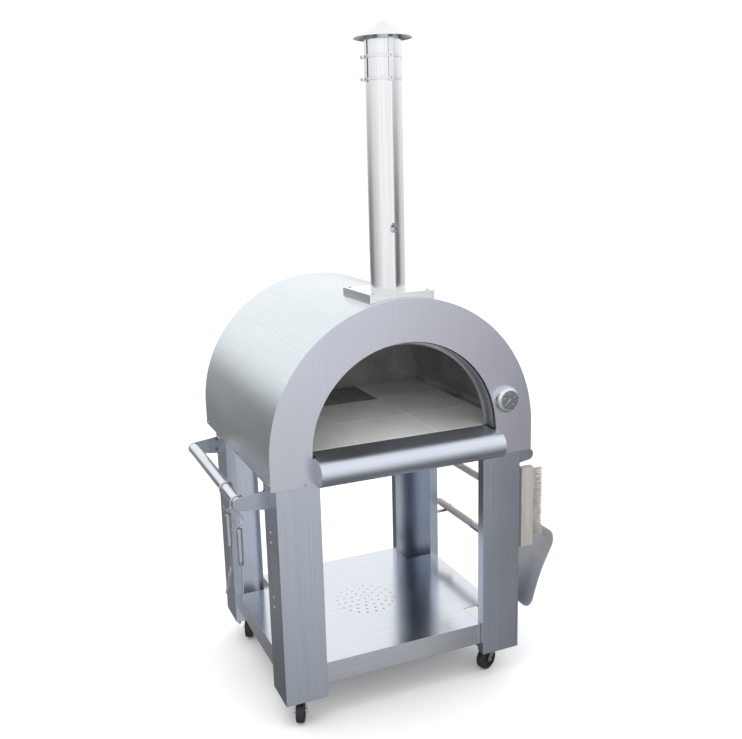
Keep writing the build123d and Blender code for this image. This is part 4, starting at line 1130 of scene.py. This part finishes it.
# ---------------------------------------------------------------- studio
@dataclass
class Studio:
    """Pale floor, soft light all round and the camera."""

    zero: Datum
    floor_half: float = 14.0
    eye: tuple[float, float, float] = (-1117.45, -2335.98, 1714.53)
    turn_deg: float = 23.178
    dip_deg: float = -12.907
    roll_deg: float = -1.488
    lens_mm: float = 43.224

    def build(self) -> None:
        """Set up floor, light and camera."""
        self.floor()
        self.sky()
        self.lamps()
        self.camera()
        bpy.context.scene.view_settings.view_transform = "Standard"

    def floor(self) -> None:
        """Lay the floor; mirrors in the steel see the soft surround instead."""
        h, z = self.floor_half, -0.0005
        floor = mesh_object("floor", [(-h, -h, z), (h, -h, z), (h, h, z), (-h, h, z)],
                            [(0, 1, 2, 3)])
        if floor.data.polygons[0].normal.z < 0:
            floor.data.flip_normals()
        material, tree, shader, _ = new_material("matt_white_floor")
        feed(tree, shader, {}, {"Base Color": linear("#f6f6f6"), "Roughness": 0.9})
        dress(floor, material)
        floor.visible_glossy = False

    def sky(self) -> None:
        """Surround the oven with white for the camera and soft bands for the steel."""
        world = bpy.data.worlds.new("studio")
        bpy.context.scene.world = world
        world.use_nodes = True
        tree = world.node_tree
        tree.nodes.clear()
        way = add_node(tree, "ShaderNodeTexCoord").outputs["Generated"]
        axes = add_node(tree, "ShaderNodeSeparateXYZ", links={0: way})
        power = spread(tree, axes.outputs[2], -0.32, -0.08, 1.02, 1.3)
        room = add_node(tree, "ShaderNodeBackground",
                        links={"Color": self.bands(tree, axes), "Strength": power})
        plain = add_node(tree, "ShaderNodeBackground", {"Color": WHITE, "Strength": 1.05})
        path = add_node(tree, "ShaderNodeLightPath")
        mix = add_node(tree, "ShaderNodeMixShader",
                       links={0: path.outputs["Is Camera Ray"], 1: room.outputs[0],
                              2: plain.outputs[0]})
        add_node(tree, "ShaderNodeOutputWorld", links={0: mix.outputs[0]})

    def bands(self, tree: bpy.types.NodeTree, axes: bpy.types.Node) -> bpy.types.NodeSocket:
        """Shade the room by height and, above the horizon, by direction.

        Args:
            tree: the world's tree.
            axes: the node that splits the view direction.

        Returns:
            The room's colour.
        """
        rise, turn = axes.outputs[2], maths(tree, "ARCTAN2", axes.outputs[0],
                                            maths(tree, "MULTIPLY", axes.outputs[1], -1.0))
        level = add_node(tree, "ShaderNodeValToRGB", links={0: spread(tree, rise, -1.0, 1.0)})
        self.ramp(level.color_ramp, [
            (0.0, 0.5), (0.12, 0.42), (0.2, 0.38), (0.245, 0.55), (0.275, 0.86), (0.31, 0.72),
            (0.35, 0.86), (0.42, 1.0), (1.0, 1.0)])
        around = add_node(tree, "ShaderNodeValToRGB",
                          links={0: spread(tree, turn, -math.pi, math.pi)})
        circle = [(-180, 0.5), (-171, 0.08), (-164, 0.55), (-156, 0.08), (-130, 0.25), (-90, 0.6),
                  (-45, 0.95), (0, 0.9), (26, 1.02), (32, 0.22), (38, 0.1), (55, 0.1),
                  (80, 0.55), (105, 0.7), (140, 0.5), (172, 0.55), (180, 0.5)]
        self.ramp(around.color_ramp, [((a + 180) / 360, v) for a, v in circle])
        sides = tint(tree, spread(tree, rise, -0.04, 0.16), around.outputs[0], WHITE)
        both = add_node(tree, "ShaderNodeMix", {0: 1.0}, {6: level.outputs[0], 7: sides},
                        data_type="RGBA", blend_type="MULTIPLY")
        return both.outputs[2]

    @staticmethod
    def ramp(ramp: bpy.types.ColorRamp, stops: Sequence[tuple[float, float]]) -> None:
        """Fill a colour ramp with grey stops.

        Args:
            ramp: the ramp, with its two default stops.
            stops: place and grey value of each stop, in order.
        """
        while len(ramp.elements) > 1:
            ramp.elements.remove(ramp.elements[-1])
        ramp.elements[0].position = stops[0][0]
        ramp.elements[0].color = (stops[0][1],) * 3 + (1.0,)
        for place, value in stops[1:]:
            ramp.elements.new(place).color = (value, value, value, 1.0)
        ramp.interpolation = "EASE"

    def lamps(self) -> None:
        """Hang a large softbox overhead, a weaker one in front and a small fill in the mouth."""
        boxes = [("overhead", (-300, 200, 3900), (0, 300, 900), 3.0, 40.0),
                 ("front", (-900, -3600, 1900), (0, 200, 950), 2.2, 34.0),
                 ("mouth", (0, 75, 1172), (0, 500, 890), 0.3, 0.6)]
        for name, place, target, size, power in boxes:
            lamp = bpy.data.lights.new(name, "AREA")
            lamp.shape = "SQUARE"
            lamp.size = size
            lamp.energy = power
            holder = bpy.data.objects.new(name, lamp)
            bpy.context.scene.collection.objects.link(holder)
            start, end = self.zero.at(*place), self.zero.at(*target)
            holder.location = start
            holder.visible_glossy = False
            holder.visible_camera = False
            holder.rotation_euler = (end - start).to_track_quat("-Z", "Y").to_euler()

    def camera(self) -> None:
        """Place the camera."""
        turn, dip, roll = (math.radians(a) for a in (self.turn_deg, self.dip_deg, self.roll_deg))
        ahead = Vector((math.sin(turn) * math.cos(dip), math.cos(turn) * math.cos(dip),
                        math.sin(dip)))
        right = ahead.cross(Vector((0, 0, 1))).normalized()
        up = right.cross(ahead)
        side = math.cos(roll) * right + math.sin(roll) * up
        top = -math.sin(roll) * right + math.cos(roll) * up
        lens = bpy.data.cameras.new("camera")
        lens.lens = self.lens_mm
        lens.sensor_width = 36.0
        lens.sensor_fit = "HORIZONTAL"
        lens.clip_end = 100.0
        camera = bpy.data.objects.new("camera", lens)
        bpy.context.scene.collection.objects.link(camera)
        axes = Matrix((side, top, -ahead)).transposed()
        camera.matrix_world = Matrix.Translation(self.zero.at(*self.eye)) @ axes.to_4x4()
        bpy.context.scene.camera = camera


def main() -> None:
    """Load the frame and build every sub-assembly in order."""
    logging.basicConfig(level=logging.INFO, format="%(name)s %(message)s")
    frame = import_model()
    low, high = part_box("face_plate")
    zero = Datum((low[0] + high[0]) / 2, low[1])
    nodes = frame["nodes"]
    kinds = (OvenBody, CookingChamber, Landing, Thermometer, Chimney, Cart, Casters,
             HangingTools, BrushAndPeel)
    for kind in kinds:
        kind(nodes, zero).build()
    Studio(zero).build()


if __name__ == "__main__":
    main()
